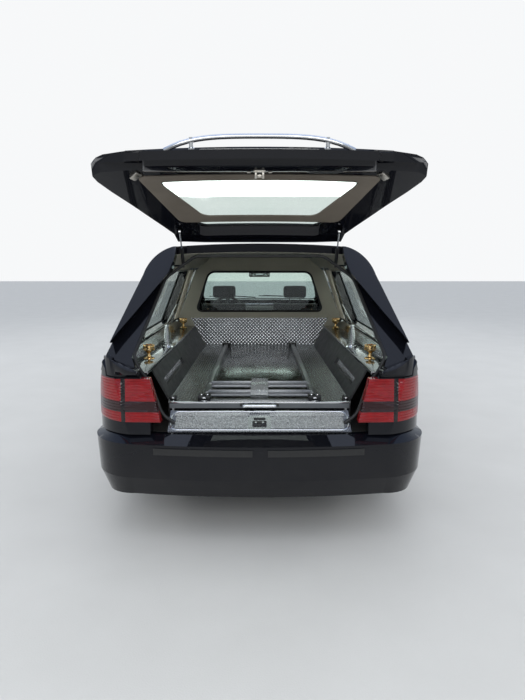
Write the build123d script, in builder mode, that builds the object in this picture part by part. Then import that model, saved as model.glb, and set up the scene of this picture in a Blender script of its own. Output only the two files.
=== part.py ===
import os
from math import atan2, cos, degrees, hypot, radians, sin

from build123d import *

os.makedirs("parts", exist_ok=True)

# Driving sizes in millimetres. A station is a distance forward of the rear bumper's face.
WHEELBASE = 3570
REAR_OVERHANG = 1184
FRONT_OVERHANG = 822
BODY_WIDTH = 1799
SILL_HEIGHT = 190
BELT_HEIGHT = 930
ROOF_HEIGHT = 1528
HEADER_DROP = 88
TRACK = 1536
TYRE_RADIUS = 320
TYRE_WIDTH = 215
RIM_RADIUS = 205
HUB_RADIUS = 60

REAR_AXLE = REAR_OVERHANG
FRONT_AXLE = REAR_AXLE + WHEELBASE
NOSE = FRONT_AXLE + FRONT_OVERHANG
HALF_WIDTH = BODY_WIDTH / 2

# The walls: an outer skin, a flange behind it that the doors close on, and the whole depth.
SKIN_DEPTH = 30
FLANGE_DEPTH = 36
WALL_DEPTH = 75
ROOF_DEPTH = 40
WING_DEPTH = 28
PANEL_GAP = 7
SEAT_GAP = 0.3

# The tailgate: its hinge line, how far it stands open, and its shape when shut.
TAILGATE_AXIS = (760, 1455)
TAILGATE_OPEN = 73.6
TAILGATE_DEPTH = 52
TAILGATE_LIP = 700
TAIL_BELT = 125
TAIL_FOOT = (90, 590)
TAIL_ROOF = (651, 1501)
TAIL_SAG = 45
ROOF_END = 724
HINGE_CLEAR = 82


def swung(station, height, angle=TAILGATE_OPEN):
    """A point of the shut tailgate, turned up about its hinge line."""
    back = TAILGATE_AXIS[0] - station
    rise = height - TAILGATE_AXIS[1]
    turn = radians(angle)
    return (
        TAILGATE_AXIS[0] - (back * cos(turn) - rise * sin(turn)),
        TAILGATE_AXIS[1] + (back * sin(turn) + rise * cos(turn)),
    )


# The origin is the middle of the whole length, which the open tailgate adds to.
TAIL_REACH = swung(*TAIL_FOOT)[0] - 20
MIDDLE = (NOSE + TAIL_REACH) / 2


def at(station):
    return station - MIDDLE


def cross_plane(station):
    """A plane across the car, its local y up."""
    return Plane.XZ.offset(-at(station))


def side_prism(points, x_from, x_to, radius=0, grow=0):
    """A side view outline of (station, height), carried across the car."""
    with BuildPart() as prism:
        with BuildSketch(Plane.YZ.offset(x_from)) as outline:
            with BuildLine():
                Polyline(*[(at(s), z) for s, z in points], close=True)
            make_face()
            if radius:
                fillet(outline.vertices(), radius)
            if grow:
                offset(amount=grow, kind=Kind.INTERSECTION)
        extrude(amount=x_to - x_from)
    return prism.part


def front_prism(points, s_from, s_to, radius=0, grow=0):
    """A front view outline of (x, height), carried along the car."""
    with BuildPart() as prism:
        with BuildSketch(cross_plane(s_to)) as outline:
            with BuildLine():
                Polyline(*points, close=True)
            make_face()
            if radius:
                fillet(outline.vertices(), radius)
            if grow:
                offset(amount=grow, kind=Kind.INTERSECTION)
        extrude(amount=s_to - s_from)
    return prism.part


def block(x_from, x_to, s_from, s_to, z_from, z_to):
    with BuildPart() as solid:
        with Locations(((x_from + x_to) / 2, (at(s_from) + at(s_to)) / 2, (z_from + z_to) / 2)):
            Box(x_to - x_from, s_to - s_from, z_to - z_from)
    return solid.part


# The body below the belt: one row for each cross section.
# station, half width, shoulder x, shoulder z, edge x, edge z, crown z
LOWER_SECTIONS = [
    (60, HALF_WIDTH - 64, 796, BELT_HEIGHT - 30, 768, BELT_HEIGHT - 4, BELT_HEIGHT + 4),
    (700, HALF_WIDTH - 32, 826, BELT_HEIGHT - 36, 792, BELT_HEIGHT - 6, BELT_HEIGHT + 2),
    (2000, HALF_WIDTH - 2, 848, BELT_HEIGHT - 42, 806, BELT_HEIGHT - 8, BELT_HEIGHT),
    (3500, HALF_WIDTH - 2, 848, BELT_HEIGHT - 48, 806, BELT_HEIGHT - 12, BELT_HEIGHT),
    (4300, HALF_WIDTH - 8, 838, BELT_HEIGHT - 58, 764, BELT_HEIGHT - 12, BELT_HEIGHT + 26),
    (4900, HALF_WIDTH - 26, 806, BELT_HEIGHT - 108, 716, BELT_HEIGHT - 64, BELT_HEIGHT - 22),
    (5560, HALF_WIDTH - 110, 690, BELT_HEIGHT - 250, 600, BELT_HEIGHT - 218, BELT_HEIGHT - 186),
]
SILL_RISE = 70
SILL_TUCK = 90
WAIST_HEIGHT = 560


def lower_body(inset):
    """The body below the belt, drawn in by inset on its sides and top."""
    foot = SILL_HEIGHT - inset
    with BuildPart() as body:
        for station, half, shoulder_x, shoulder_z, edge_x, edge_z, crown in LOWER_SECTIONS:
            drop = min(inset, ROOF_DEPTH)
            low = (half - SILL_TUCK - inset, foot)
            rocker = (half - 14 - inset, SILL_HEIGHT + SILL_RISE)
            waist = (half - inset, WAIST_HEIGHT)
            shoulder = (shoulder_x - inset, shoulder_z - drop / 2)
            edge = (edge_x - inset, edge_z - drop)
            bend = ((shoulder[0] + edge[0]) / 2 + 7, (shoulder[1] + edge[1]) / 2 + 9)
            with BuildSketch(cross_plane(station)):
                with BuildLine():
                    Line((-low[0], low[1]), low)
                    for side in (1, -1):
                        Line((side * low[0], low[1]), (side * rocker[0], rocker[1]))
                        ThreePointArc(
                            (side * rocker[0], rocker[1]),
                            (side * waist[0], waist[1]),
                            (side * shoulder[0], shoulder[1]),
                        )
                        ThreePointArc(
                            (side * shoulder[0], shoulder[1]),
                            (side * bend[0], bend[1]),
                            (side * edge[0], edge[1]),
                        )
                    ThreePointArc((-edge[0], edge[1]), (0, crown - drop), edge)
                make_face()
        loft()
    return body.part


# The glasshouse: station, half width at the belt, crown z.
UPPER_SECTIONS = [
    (60, 788, ROOF_HEIGHT - 22),
    (900, 806, ROOF_HEIGHT - 6),
    (2100, 812, ROOF_HEIGHT),
    (3300, 808, ROOF_HEIGHT - 40),
    (4420, 786, ROOF_HEIGHT - 168),
]
LEAN = 0.374
ROOF_CORNER_DROP = 175
ROOF_CORNER_RUN = 154


def upper_body(inset):
    """The glasshouse and roof, drawn in by inset."""
    with BuildPart() as body:
        for station, half, crown in UPPER_SECTIONS:
            top = crown - min(inset, ROOF_DEPTH)
            base_z = BELT_HEIGHT - 70
            base = (half - inset + LEAN * (BELT_HEIGHT - base_z), base_z)
            rail_z = crown - ROOF_CORNER_DROP
            rail = (half - inset - LEAN * (rail_z - BELT_HEIGHT), rail_z)
            edge = (rail[0] - ROOF_CORNER_RUN + inset / 2, top - 18)
            bend = ((rail[0] + edge[0]) / 2 + 10, (rail[1] + edge[1]) / 2 + 34)
            with BuildSketch(cross_plane(station)):
                with BuildLine():
                    Line((-base[0], base[1]), base)
                    for side in (1, -1):
                        Line((side * base[0], base[1]), (side * rail[0], rail[1]))
                        ThreePointArc(
                            (side * rail[0], rail[1]),
                            (side * bend[0], bend[1]),
                            (side * edge[0], edge[1]),
                        )
                    ThreePointArc((-edge[0], edge[1]), (0, top), edge)
                make_face()
        loft()
    return body.part


def curved_wall(foot, head, sag, near, far, reach=5200, across=1100):
    """A wall bowed across the car, between two depths behind a skin line from foot to head."""
    run = head[0] - foot[0]
    rise = head[1] - foot[1]
    long = hypot(run, rise)
    leading = -1 if run < 0 else 1
    plane = Plane(
        origin=(0, at(foot[0]), foot[1]),
        x_dir=(-leading, 0, 0),
        z_dir=(0, run / long, rise / long),
    )
    with BuildPart() as wall:
        with BuildSketch(plane):
            with BuildLine():
                ThreePointArc((-across, -sag - near), (0, -near), (across, -sag - near))
                ThreePointArc((-across, -sag - far), (0, -far), (across, -sag - far))
                Line((-across, -sag - near), (-across, -sag - far))
                Line((across, -sag - near), (across, -sag - far))
            make_face()
        extrude(amount=reach, both=True)
    return wall.part


# The windscreen's skin line at the middle of the car.
SCREEN_FOOT = (4330, BELT_HEIGHT + 10)
SCREEN_HEAD = (3630, ROOF_HEIGHT - HEADER_DROP)
SCREEN_SAG = 190
DEEP = 5600
SCREEN_LINE = (SCREEN_FOOT, SCREEN_HEAD, SCREEN_SAG)
PILLAR_DEPTH = 52

# The plan view: the bowed tail and the rounded nose.
TAIL_BOW = 66
TAIL_CORNER = (590, 92)
TAIL_SIDE = (852, 340)
NOSE_BOW = NOSE - 36
NOSE_CORNER = (600, NOSE - 116)
NOSE_SIDE = (876, NOSE - 520)


def plan_prism(inset):
    with BuildPart() as prism:
        with BuildSketch(Plane.XY):
            with BuildLine():
                tail = TAIL_BOW + inset
                corner = (TAIL_CORNER[0] - inset / 2, at(TAIL_CORNER[1] + inset))
                flank = (TAIL_SIDE[0] - inset, at(TAIL_SIDE[1] + inset / 2))
                bend = ((corner[0] + flank[0]) / 2 + 52, (corner[1] + flank[1]) / 2 - 42)
                nose = NOSE_BOW - inset
                front = (NOSE_CORNER[0] - inset / 2, at(NOSE_CORNER[1] - inset))
                cheek = (NOSE_SIDE[0] - inset, at(NOSE_SIDE[1] - inset / 2))
                turn = ((front[0] + cheek[0]) / 2 + 56, (front[1] + cheek[1]) / 2 + 62)
                wide = HALF_WIDTH + 40 - inset
                ThreePointArc((-corner[0], corner[1]), (0, at(tail)), corner)
                ThreePointArc((-front[0], front[1]), (0, at(nose)), front)
                for side in (1, -1):
                    ThreePointArc(
                        (side * corner[0], corner[1]),
                        (side * bend[0], bend[1]),
                        (side * flank[0], flank[1]),
                    )
                    Line((side * flank[0], flank[1]), (side * wide, at(1100)))
                    Line((side * wide, at(1100)), (side * wide, at(4500)))
                    Line((side * wide, at(4500)), (side * cheek[0], cheek[1]))
                    ThreePointArc(
                        (side * cheek[0], cheek[1]),
                        (side * turn[0], turn[1]),
                        (side * front[0], front[1]),
                    )
            make_face()
        extrude(amount=1800)
    return prism.part


def glasshouse(inset):
    with BuildPart() as body:
        add(upper_body(inset))
        add(curved_wall(SCREEN_FOOT, SCREEN_HEAD, SCREEN_SAG, inset, DEEP), mode=Mode.INTERSECT)
        add(
            curved_wall((TAIL_BELT, BELT_HEIGHT), TAIL_ROOF, TAIL_SAG, inset, DEEP),
            mode=Mode.INTERSECT,
        )
    return body.part


def whole_body(inset):
    with BuildPart() as body:
        add(lower_body(inset))
        add(
            curved_wall(TAIL_FOOT, (TAIL_BELT, BELT_HEIGHT), TAIL_SAG, inset, DEEP),
            mode=Mode.INTERSECT,
        )
        add(glasshouse(inset))
        add(plan_prism(inset), mode=Mode.INTERSECT)
    return body.part


outer_form = whole_body(0)
skin_form = whole_body(SKIN_DEPTH)
flange_form = whole_body(FLANGE_DEPTH)
inner_form = whole_body(WALL_DEPTH)
lower_form = lower_body(0)
body_shell = outer_form - inner_form


def write(solid, name):
    solid.label = name
    export_step(solid, f"parts/{name}.step")


def mirrored(solid):
    return mirror(solid, about=Plane.YZ)


# Side view outlines, as (station, height).
WING_LINE = 4212
B_POST = 3196
C_POST = 1950
DOOR_FOOT = 285
FRONT_DOOR = [
    (WING_LINE - PANEL_GAP, DOOR_FOOT),
    (WING_LINE - PANEL_GAP, BELT_HEIGHT + 15),
    (3575, 1382),
    (B_POST + 22, 1402),
    (B_POST + PANEL_GAP / 2, BELT_HEIGHT),
    (B_POST + PANEL_GAP / 2, DOOR_FOOT),
]
REAR_DOOR = [
    (B_POST - PANEL_GAP / 2, DOOR_FOOT),
    (B_POST - PANEL_GAP / 2, BELT_HEIGHT),
    (B_POST - PANEL_GAP / 2, 1404),
    (C_POST + 75, 1412),
    (C_POST + 5, BELT_HEIGHT),
    (C_POST, DOOR_FOOT),
]
FRONT_WINDOW = [
    (4012, BELT_HEIGHT + 14),
    (3482, 1340),
    (3286, 1346),
    (3262, BELT_HEIGHT + 14),
]
REAR_WINDOW = [
    (3136, BELT_HEIGHT + 14),
    (3136, 1348),
    (C_POST + 128, 1352),
    (C_POST + 68, BELT_HEIGHT + 14),
]
QUARTER_WINDOW = [
    (C_POST - 62, BELT_HEIGHT + 16),
    (C_POST - 4, 1356),
    (812, 1352),
    (450, BELT_HEIGHT + 16),
]
FLANGE_WIDTH = 44
DOOR_CLEAR = 26
WINDOW_CORNER = 34
ARCH_RADIUS = 372
ARCH_INNER = 610


def outline_grown(points, grow):
    """An outline pushed out on every side, more at its upper rear, where a door swings back."""
    middle = sum(s for s, z in points) / len(points)
    moved = []
    for s, z in points:
        away = grow if s > middle else -grow
        if s < middle and z > BELT_HEIGHT + 40:
            away = -grow * 1.9
        up = grow if z > BELT_HEIGHT + 40 else (0 if z > DOOR_FOOT + 10 else -grow)
        moved.append((s + away, z + up))
    return moved


doors = {
    "front": (FRONT_DOOR, FRONT_WINDOW),
    "rear": (REAR_DOOR, REAR_WINDOW),
}
MIRROR_FOOT = (3990, BELT_HEIGHT + 16)
COWL_WIDTH = 690
COWL_START = 4090


def door_solid(outline, window, mirror_housing):
    """A right-hand door: its skin over the whole outline, its inner box inside the flange."""
    with BuildPart() as door:
        add(body_shell)
        add(side_prism(outline, 200, 1000), mode=Mode.INTERSECT)
        add(curved_wall(*SCREEN_LINE, -300, PILLAR_DEPTH + PANEL_GAP), mode=Mode.SUBTRACT)
        add(block(0, COWL_WIDTH + 12, COWL_START - 12, 5000, 800, 1000), mode=Mode.SUBTRACT)
        rim = skin_form - side_prism(outline, 0, 1000, grow=-(FLANGE_WIDTH + DOOR_CLEAR))
        add(rim, mode=Mode.SUBTRACT)
        add(side_prism(window, 0, 1000, WINDOW_CORNER), mode=Mode.SUBTRACT)
        if mirror_housing:
            with BuildSketch(Plane.YZ.offset(812)):
                with Locations(Pos(at(MIRROR_FOOT[0]), MIRROR_FOOT[1])):
                    RectangleRounded(52, 84, 16)
            extrude(amount=38)
            with BuildSketch(Plane.YZ.offset(822)):
                with Locations((at(MIRROR_FOOT[0]) - 6, MIRROR_FOOT[1] + 56)):
                    RectangleRounded(120, 128, 40)
            with BuildSketch(Plane.YZ.offset(900)):
                with Locations((at(MIRROR_FOOT[0]) - 14, MIRROR_FOOT[1] + 60)):
                    RectangleRounded(104, 140, 44)
            with BuildSketch(Plane.YZ.offset(1010)):
                with Locations((at(MIRROR_FOOT[0]) - 24, MIRROR_FOOT[1] + 54)):
                    RectangleRounded(76, 104, 34)
            loft()
    return door.part


glass_outer = whole_body(10)
glass_inner = whole_body(15)
glass_layer = glass_outer - glass_inner


def side_glass(window):
    with BuildPart() as pane:
        add(glass_layer)
        add(side_prism(window, 200, 1000, WINDOW_CORNER, grow=-SEAT_GAP), mode=Mode.INTERSECT)
    return pane.part


for place, (outline, window) in doors.items():
    solid = door_solid(outline, window, place == "front")
    pane = side_glass(window)
    write(solid, f"right_{place}_door")
    write(mirrored(solid), f"left_{place}_door")
    write(pane, f"right_{place}_door_window")
    write(mirrored(pane), f"left_{place}_door_window")

pane = side_glass(QUARTER_WINDOW)
write(Compound([pane.solid(), mirrored(pane).solid()]), "quarter_windows")

# Front view outlines, as (x, height).
ROOF_SEAM = 500
SCREEN_WINDOW = [(-706, SCREEN_FOOT[1] + 26), (706, SCREEN_FOOT[1] + 26), (574, 1425), (-574, 1425)]
BONNET_EDGE = [(700, 4275), (690, 4600), (600, 5300), (560, 5600)]
BONNET_REAR = 4275
BONNET_GAP = 6
LAMP_POST = [(548, 834), (494, 618), (960, 618), (960, 834)]
LAMP_DEPTH = 50
LAMP_REACH = 330
TAIL_PART = TAILGATE_DEPTH + 6
TAIL_PANEL = 545


def ellipse_prism(x, z, x_radius, z_radius, s_from, s_to):
    with BuildPart() as prism:
        with BuildSketch(cross_plane(s_to)):
            with Locations((x, z)):
                Ellipse(x_radius, z_radius)
        extrude(amount=s_to - s_from)
    return prism.part


HEADLAMPS = [(672, 650, 128, 76), (436, 646, 92, 64)]
LAMP_CUT = SEAT_GAP
WING_INNER = 340


def bonnet_prism(grow):
    with BuildPart() as prism:
        with BuildSketch(Plane.XY.offset(500)):
            with BuildLine():
                right = [(x + grow, at(s - (grow if s == BONNET_REAR else 0))) for x, s in BONNET_EDGE]
                Polyline(*right, *[(-x, y) for x, y in reversed(right)], close=True)
            make_face()
        extrude(amount=600)
    return prism.part


NOSE_PANEL_FOOT = 566
bonnet_zone = bonnet_prism(0)
bonnet_room = bonnet_prism(BONNET_GAP)
wing_form = lower_body(WING_DEPTH)

with BuildPart() as nose_shell:
    add(lower_form)
    add(plan_prism(0), mode=Mode.INTERSECT)
    add(wing_form - block(-1000, 1000, 5480, 5700, 0, 1200), mode=Mode.SUBTRACT)

with BuildPart() as bonnet:
    add(nose_shell.part)
    add(bonnet_zone, mode=Mode.INTERSECT)
    add(block(-800, 800, 4000, 5700, 748, 1100), mode=Mode.INTERSECT)
write(bonnet.part, "bonnet")

for place, side in (("right", 1), ("left", -1)):
    with BuildPart() as wing:
        add(nose_shell.part)
        add(block(WING_INNER, 1000, WING_LINE, 5700, 0, 1200), mode=Mode.INTERSECT)
        add(block(0, COWL_WIDTH + 3, 4000, BONNET_REAR, 700, 1200), mode=Mode.SUBTRACT)
        add(bonnet_room - block(-800, 800, 4000, 5700, 0, 742), mode=Mode.SUBTRACT)
        add(block(0, 1000, 4900, 5700, 0, NOSE_PANEL_FOOT), mode=Mode.SUBTRACT)
        with Locations(Location((0, at(FRONT_AXLE), TYRE_RADIUS), (0, 90, 0))):
            Cylinder(ARCH_RADIUS, 2400, mode=Mode.SUBTRACT)
        for x, z, across, up in HEADLAMPS:
            add(ellipse_prism(x, z, across + LAMP_CUT, up + LAMP_CUT, 5000, 5700), mode=Mode.SUBTRACT)
    write(wing.part if side > 0 else mirrored(wing.part), f"{place}_front_wing")

opening_cuts = []
for place, (outline, window) in doors.items():
    pillar = curved_wall(*SCREEN_LINE, -300, PILLAR_DEPTH)
    skin_cut = side_prism(outline_grown(outline, PANEL_GAP), 100, 1100) - pillar - flange_form
    flange_cut = side_prism(outline, 100, 1100, grow=-FLANGE_WIDTH) - pillar
    opening_cuts += [skin_cut, flange_cut]

TAIL_OPENING = [
    (440, 598),
    (505, 640),
    (560, 800),
    (622, 862),
    (655, 930),
    (540, 1325),
    (380, 1452),
]


def cross_core(radius):
    """A round bar across the car on the tailgate's hinge line."""
    with BuildPart() as core:
        with BuildSketch(Plane.YZ.offset(-1000)):
            with Locations((at(TAILGATE_AXIS[0]), TAILGATE_AXIS[1])):
                Circle(radius)
        extrude(amount=2000)
    return core.part


tail_opening = [(-x, z) for x, z in reversed(TAIL_OPENING)] + TAIL_OPENING
tail_line = ((TAIL_BELT, BELT_HEIGHT), TAIL_ROOF, TAIL_SAG)
hinge_core = cross_core(HINGE_CLEAR - 6) & block(-1000, 1000, ROOF_END, 1000, 1300, 1700)
behind_part = curved_wall(*tail_line, -200, TAIL_PART) - hinge_core
STRUT_FOOT = (700, 1390)
STRUT_HEAD = (590, 1316)
STRUT_X = 445
PIN_RADIUS = 5
EYE_HALF = 6
PIN_STANDOFF = 0.6


def cross_pin(point, radius, x_from, x_to):
    """A pin across the car at a (station, height) point."""
    with BuildPart() as pin:
        with BuildSketch(Plane.YZ.offset(x_from)):
            with Locations((at(point[0]), point[1])):
                Circle(radius)
        extrude(amount=x_to - x_from)
    return pin.part


FOOT_DEPTH = 36


def lower_gate(near, far):
    """The tailgate's upright lower panel, between two depths."""
    return curved_wall(TAIL_FOOT, (TAIL_BELT, BELT_HEIGHT), TAIL_SAG, near, far, reach=800)


panel_front = block(0, 1000, 0, WING_LINE - PANEL_GAP, 0, 1700)
post_front = block(0, 1000, WING_LINE - PANEL_GAP, 4420, BELT_HEIGHT - 40, 1700) - lower_form
TRIM_LOW = 556
REAR_BUMPER_END = 470
lamp_room = front_prism(LAMP_POST, 0, LAMP_REACH + SEAT_GAP, grow=SEAT_GAP)
with BuildPart() as side_panel:
    add(body_shell)
    add(panel_front + post_front, mode=Mode.INTERSECT)
    add(block(0, ROOF_SEAM, 0, 5000, BELT_HEIGHT, 1700), mode=Mode.SUBTRACT)
    add(block(0, COWL_WIDTH, COWL_START, 5000, 800, SCREEN_WINDOW[0][1]), mode=Mode.SUBTRACT)
    add(front_prism(tail_opening, 0, 700), mode=Mode.SUBTRACT)
    add(behind_part - block(-1200, 1200, 0, 3000, 0, 846), mode=Mode.SUBTRACT)
    add(front_prism([(0, 0), (TAIL_PANEL, 0), (TAIL_PANEL, 846), (0, 846)], 0, 200), mode=Mode.SUBTRACT)
    add(lower_gate(-200, FOOT_DEPTH + 6) & block(-1200, 1200, -200, 400, 840, BELT_HEIGHT + 30),
        mode=Mode.SUBTRACT)
    add(cross_pin(STRUT_FOOT, PIN_RADIUS, STRUT_X - EYE_HALF - 2, 590))
    add(lamp_room, mode=Mode.SUBTRACT)
    add(block(0, 1000, 0, REAR_BUMPER_END + 4, 0, TRIM_LOW), mode=Mode.SUBTRACT)
    for cut in opening_cuts:
        add(cut, mode=Mode.SUBTRACT)
    add(side_prism(QUARTER_WINDOW, 100, 1000, WINDOW_CORNER), mode=Mode.SUBTRACT)
    add(front_prism(SCREEN_WINDOW, 3300, 4700, 40), mode=Mode.SUBTRACT)
    with Locations(Location((0, at(REAR_AXLE), TYRE_RADIUS), (0, 90, 0))):
        Cylinder(ARCH_RADIUS, 2400, mode=Mode.SUBTRACT)
panel_solid = side_panel.part.solids().sort_by(SortBy.VOLUME)[-1]
write(panel_solid, "right_side_panel")
write(mirrored(panel_solid), "left_side_panel")

with BuildPart() as roof_panel:
    add(body_shell)
    add(block(-ROOF_SEAM, ROOF_SEAM, ROOF_END, 4100, BELT_HEIGHT + 100, 1700), mode=Mode.INTERSECT)
    add(front_prism(SCREEN_WINDOW, 3300, 4700, 40), mode=Mode.SUBTRACT)
write(roof_panel.part, "roof_panel")

with BuildPart() as cowl_panel:
    add(outer_form)
    add(whole_body(20), mode=Mode.SUBTRACT)
    add(block(-COWL_WIDTH, COWL_WIDTH, COWL_START, BONNET_REAR - BONNET_GAP, 800, SCREEN_WINDOW[0][1]),
        mode=Mode.INTERSECT)
    add(front_prism(SCREEN_WINDOW, 3300, 4700, 40), mode=Mode.SUBTRACT)
write(cowl_panel.part, "cowl_panel")

with BuildPart() as windscreen:
    add(curved_wall(SCREEN_FOOT, SCREEN_HEAD, SCREEN_SAG, 6, 12))
    add(front_prism(SCREEN_WINDOW, 3300, 4700, 40, grow=-SEAT_GAP), mode=Mode.INTERSECT)
write(windscreen.part, "windscreen")

# The tailgate, shaped shut and then turned open about its hinge line.
TAILGATE_OUTLINE = [
    (480, TAIL_FOOT[1]),
    (540, 842),
    (830, 852),
    (830, 1600),
]
gate_outline = [(-x, z) for x, z in reversed(TAILGATE_OUTLINE)] + TAILGATE_OUTLINE
GATE_WINDOW = [(520, 1010), (440, 1270), (330, 1400)]
gate_window = [(-x, z) for x, z in reversed(GATE_WINDOW)] + GATE_WINDOW
GATE_WINDOW_CORNER = 50
gate_turn = Axis((0, at(TAILGATE_AXIS[0]), TAILGATE_AXIS[1]), (1, 0, 0))


def opened(solid):
    return solid.rotate(gate_turn, -TAILGATE_OPEN)


with BuildPart() as gate_upper:
    add(outer_form)
    add(curved_wall(*tail_line, -100, TAILGATE_DEPTH), mode=Mode.INTERSECT)
    add(block(-1000, 1000, 0, TAILGATE_LIP, BELT_HEIGHT, 1700), mode=Mode.INTERSECT)
with BuildPart() as gate_lower:
    add(outer_form)
    add(lower_gate(-60, FOOT_DEPTH), mode=Mode.INTERSECT)
    add(block(-1000, 1000, 0, 300, TAIL_FOOT[1], BELT_HEIGHT), mode=Mode.INTERSECT)
with BuildPart() as tailgate:
    add(gate_upper.part)
    add(gate_lower.part)
    add(front_prism(gate_outline, 0, 900), mode=Mode.INTERSECT)
    add(front_prism(gate_window, 0, 900, GATE_WINDOW_CORNER), mode=Mode.SUBTRACT)
    add(cross_core(HINGE_CLEAR), mode=Mode.SUBTRACT)
    for side in (1, -1):
        with Locations((side * (STRUT_X + 20), at(STRUT_HEAD[0]) - 26, STRUT_HEAD[1])):
            Box(12, 72, 26)
        x_pair = sorted((side * (STRUT_X + EYE_HALF + PIN_STANDOFF), side * (STRUT_X + 20)))
        add(cross_pin(STRUT_HEAD, PIN_RADIUS, *x_pair))
write(opened(tailgate.part), "tailgate")

with BuildPart() as tailgate_window:
    add(curved_wall(*tail_line, 8, 13))
    add(front_prism(gate_window, 0, 900, GATE_WINDOW_CORNER, grow=-SEAT_GAP), mode=Mode.INTERSECT)
write(opened(tailgate_window.part), "tailgate_window")

# Lamps follow the body's own surface, each set into the wall behind it.
lamp_layer = outer_form - whole_body(LAMP_DEPTH)
with BuildPart() as tail_lamp:
    add(lamp_layer)
    add(front_prism(LAMP_POST, 0, LAMP_REACH), mode=Mode.INTERSECT)
    add(block(0, 1000, 0, LAMP_REACH, 0, 1000), mode=Mode.INTERSECT)
write(Compound([tail_lamp.part.solid(), mirrored(tail_lamp.part).solid()]), "tail_lamps")

lamps = []
for x, z, across, up in HEADLAMPS:
    with BuildPart() as headlamp:
        add(lower_form)
        add(plan_prism(0), mode=Mode.INTERSECT)
        add(wing_form - block(-1000, 1000, 5480, 5700, 0, 1200), mode=Mode.SUBTRACT)
        add(ellipse_prism(x, z, across, up, 5050, 5700), mode=Mode.INTERSECT)
    lamps.append(headlamp.part.solids().sort_by(SortBy.VOLUME)[-1])
write(Compound(lamps + [mirrored(s) for s in lamps]), "headlamps")

# Bumpers: plan outlines lofted between heights. height, set back from the widest outline
REAR_BUMPER_LEVELS = [(236, 70), (342, 14), (521, 0), (556, 78)]
FRONT_BUMPER_LEVELS = [(196, 60), (300, 8), (500, 0), (560, 70)]
BUMPER_WALL = 110


def bumper_outline(bow, corner, flank, end, inset):
    """Half a plan outline, mirrored: the bowed face, a round corner and a straight flank."""
    turn = 1 if corner[1] > bow else -1
    face = (corner[0], at(corner[1] + turn * inset))
    cheek = (flank[0] - inset, at(flank[1]))
    bend = ((face[0] + cheek[0]) / 2 + 44, (face[1] + cheek[1]) / 2 - turn * 38)
    ThreePointArc((-face[0], face[1]), (0, at(bow + turn * inset)), face)
    for side in (1, -1):
        ThreePointArc((side * face[0], face[1]), (side * bend[0], bend[1]), (side * cheek[0], cheek[1]))
        Line((side * cheek[0], cheek[1]), (side * cheek[0], at(end)))
    Line((-cheek[0], at(end)), (cheek[0], at(end)))


def bumper(levels, bow, corner, flank, end):
    with BuildPart() as cover:
        for (low, low_inset), (high, high_inset) in zip(levels, levels[1:]):
            for height, inset in ((low, low_inset), (high, high_inset)):
                with BuildSketch(Plane.XY.offset(height)):
                    with BuildLine():
                        bumper_outline(bow, corner, flank, end, inset)
                    make_face()
            loft(ruled=True)
        with BuildSketch(Plane.XY.offset(levels[0][0] - 10)):
            with BuildLine():
                bumper_outline(bow, corner, flank, end + (40 if end > bow else -40), BUMPER_WALL)
            make_face()
        extrude(amount=levels[-1][0] - levels[0][0] + 20, mode=Mode.SUBTRACT)
    return cover.part


TOW_EYE = (300, 460)
TOW_EYE_RADIUS = 9
TOW_COVER_RADIUS = 28
FRONT_BUMPER_END = FRONT_AXLE + ARCH_RADIUS + 14
rear_cover = bumper(REAR_BUMPER_LEVELS, 4, (640, 56), (868, 300), REAR_BUMPER_END)
write(rear_cover, "rear_bumper")
front_cover = bumper(FRONT_BUMPER_LEVELS, NOSE, (640, NOSE - 92), (868, NOSE - 420), FRONT_BUMPER_END)
with BuildPart() as front_bumper:
    add(front_cover)
    with BuildSketch(cross_plane(NOSE + 20)):
        with Locations((0, 285)):
            RectangleRounded(900, 96, 30)
    extrude(amount=90, mode=Mode.SUBTRACT)
    with BuildSketch(cross_plane(NOSE + 20)):
        with Locations((TOW_EYE[0], TOW_EYE[1])):
            Circle(TOW_COVER_RADIUS)
    extrude(amount=400, mode=Mode.SUBTRACT)
write(front_bumper.part, "front_bumper")

GRILLE_HALF = WING_INNER - SEAT_GAP
GRILLE = [
    (-GRILLE_HALF, NOSE_PANEL_FOOT + 4),
    (GRILLE_HALF, NOSE_PANEL_FOOT + 4),
    (GRILLE_HALF, 742),
    (-GRILLE_HALF, 742),
]
GRILLE_FRAME = 26
GRILLE_BARS = 6
GRILLE_BAR = 9
with BuildPart() as grille:
    add(lower_form)
    add(plan_prism(0), mode=Mode.INTERSECT)
    add(front_prism(GRILLE, 5330, 5700), mode=Mode.INTERSECT)
    add(block(-400, 400, 5300, NOSE_BOW - 60, 0, 800), mode=Mode.SUBTRACT)
    hole = front_prism(GRILLE, 5300, 5700, grow=-GRILLE_FRAME)
    bars = block(-6, 6, 5300, 5700, 500, 800)
    for row in range(1, GRILLE_BARS):
        z = GRILLE[0][1] + GRILLE_FRAME + row * (742 - GRILLE[0][1] - 2 * GRILLE_FRAME) / GRILLE_BARS
        bars = bars + block(-400, 400, 5300, 5700, z - GRILLE_BAR / 2, z + GRILLE_BAR / 2)
    add(hole - bars, mode=Mode.SUBTRACT)
write(grille.part, "grille")

# Floor: one pressed sheet, stepped up over the rear axle, with rails, bulkhead and wheelhouses.
FLOOR_SHEET = 16
FLOOR_LOW = 262
FLOOR_HIGH = 520
FLOOR_START = 216
FLOOR_REAR_HALF = 690
BULKHEAD = 4262
WHEELHOUSE_WALL = 5
RAIL_X = 430
REAR_HOUSE_X = 600
SHAFT_CLEAR = 414
FRONT_HOUSE_X = 460


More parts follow.
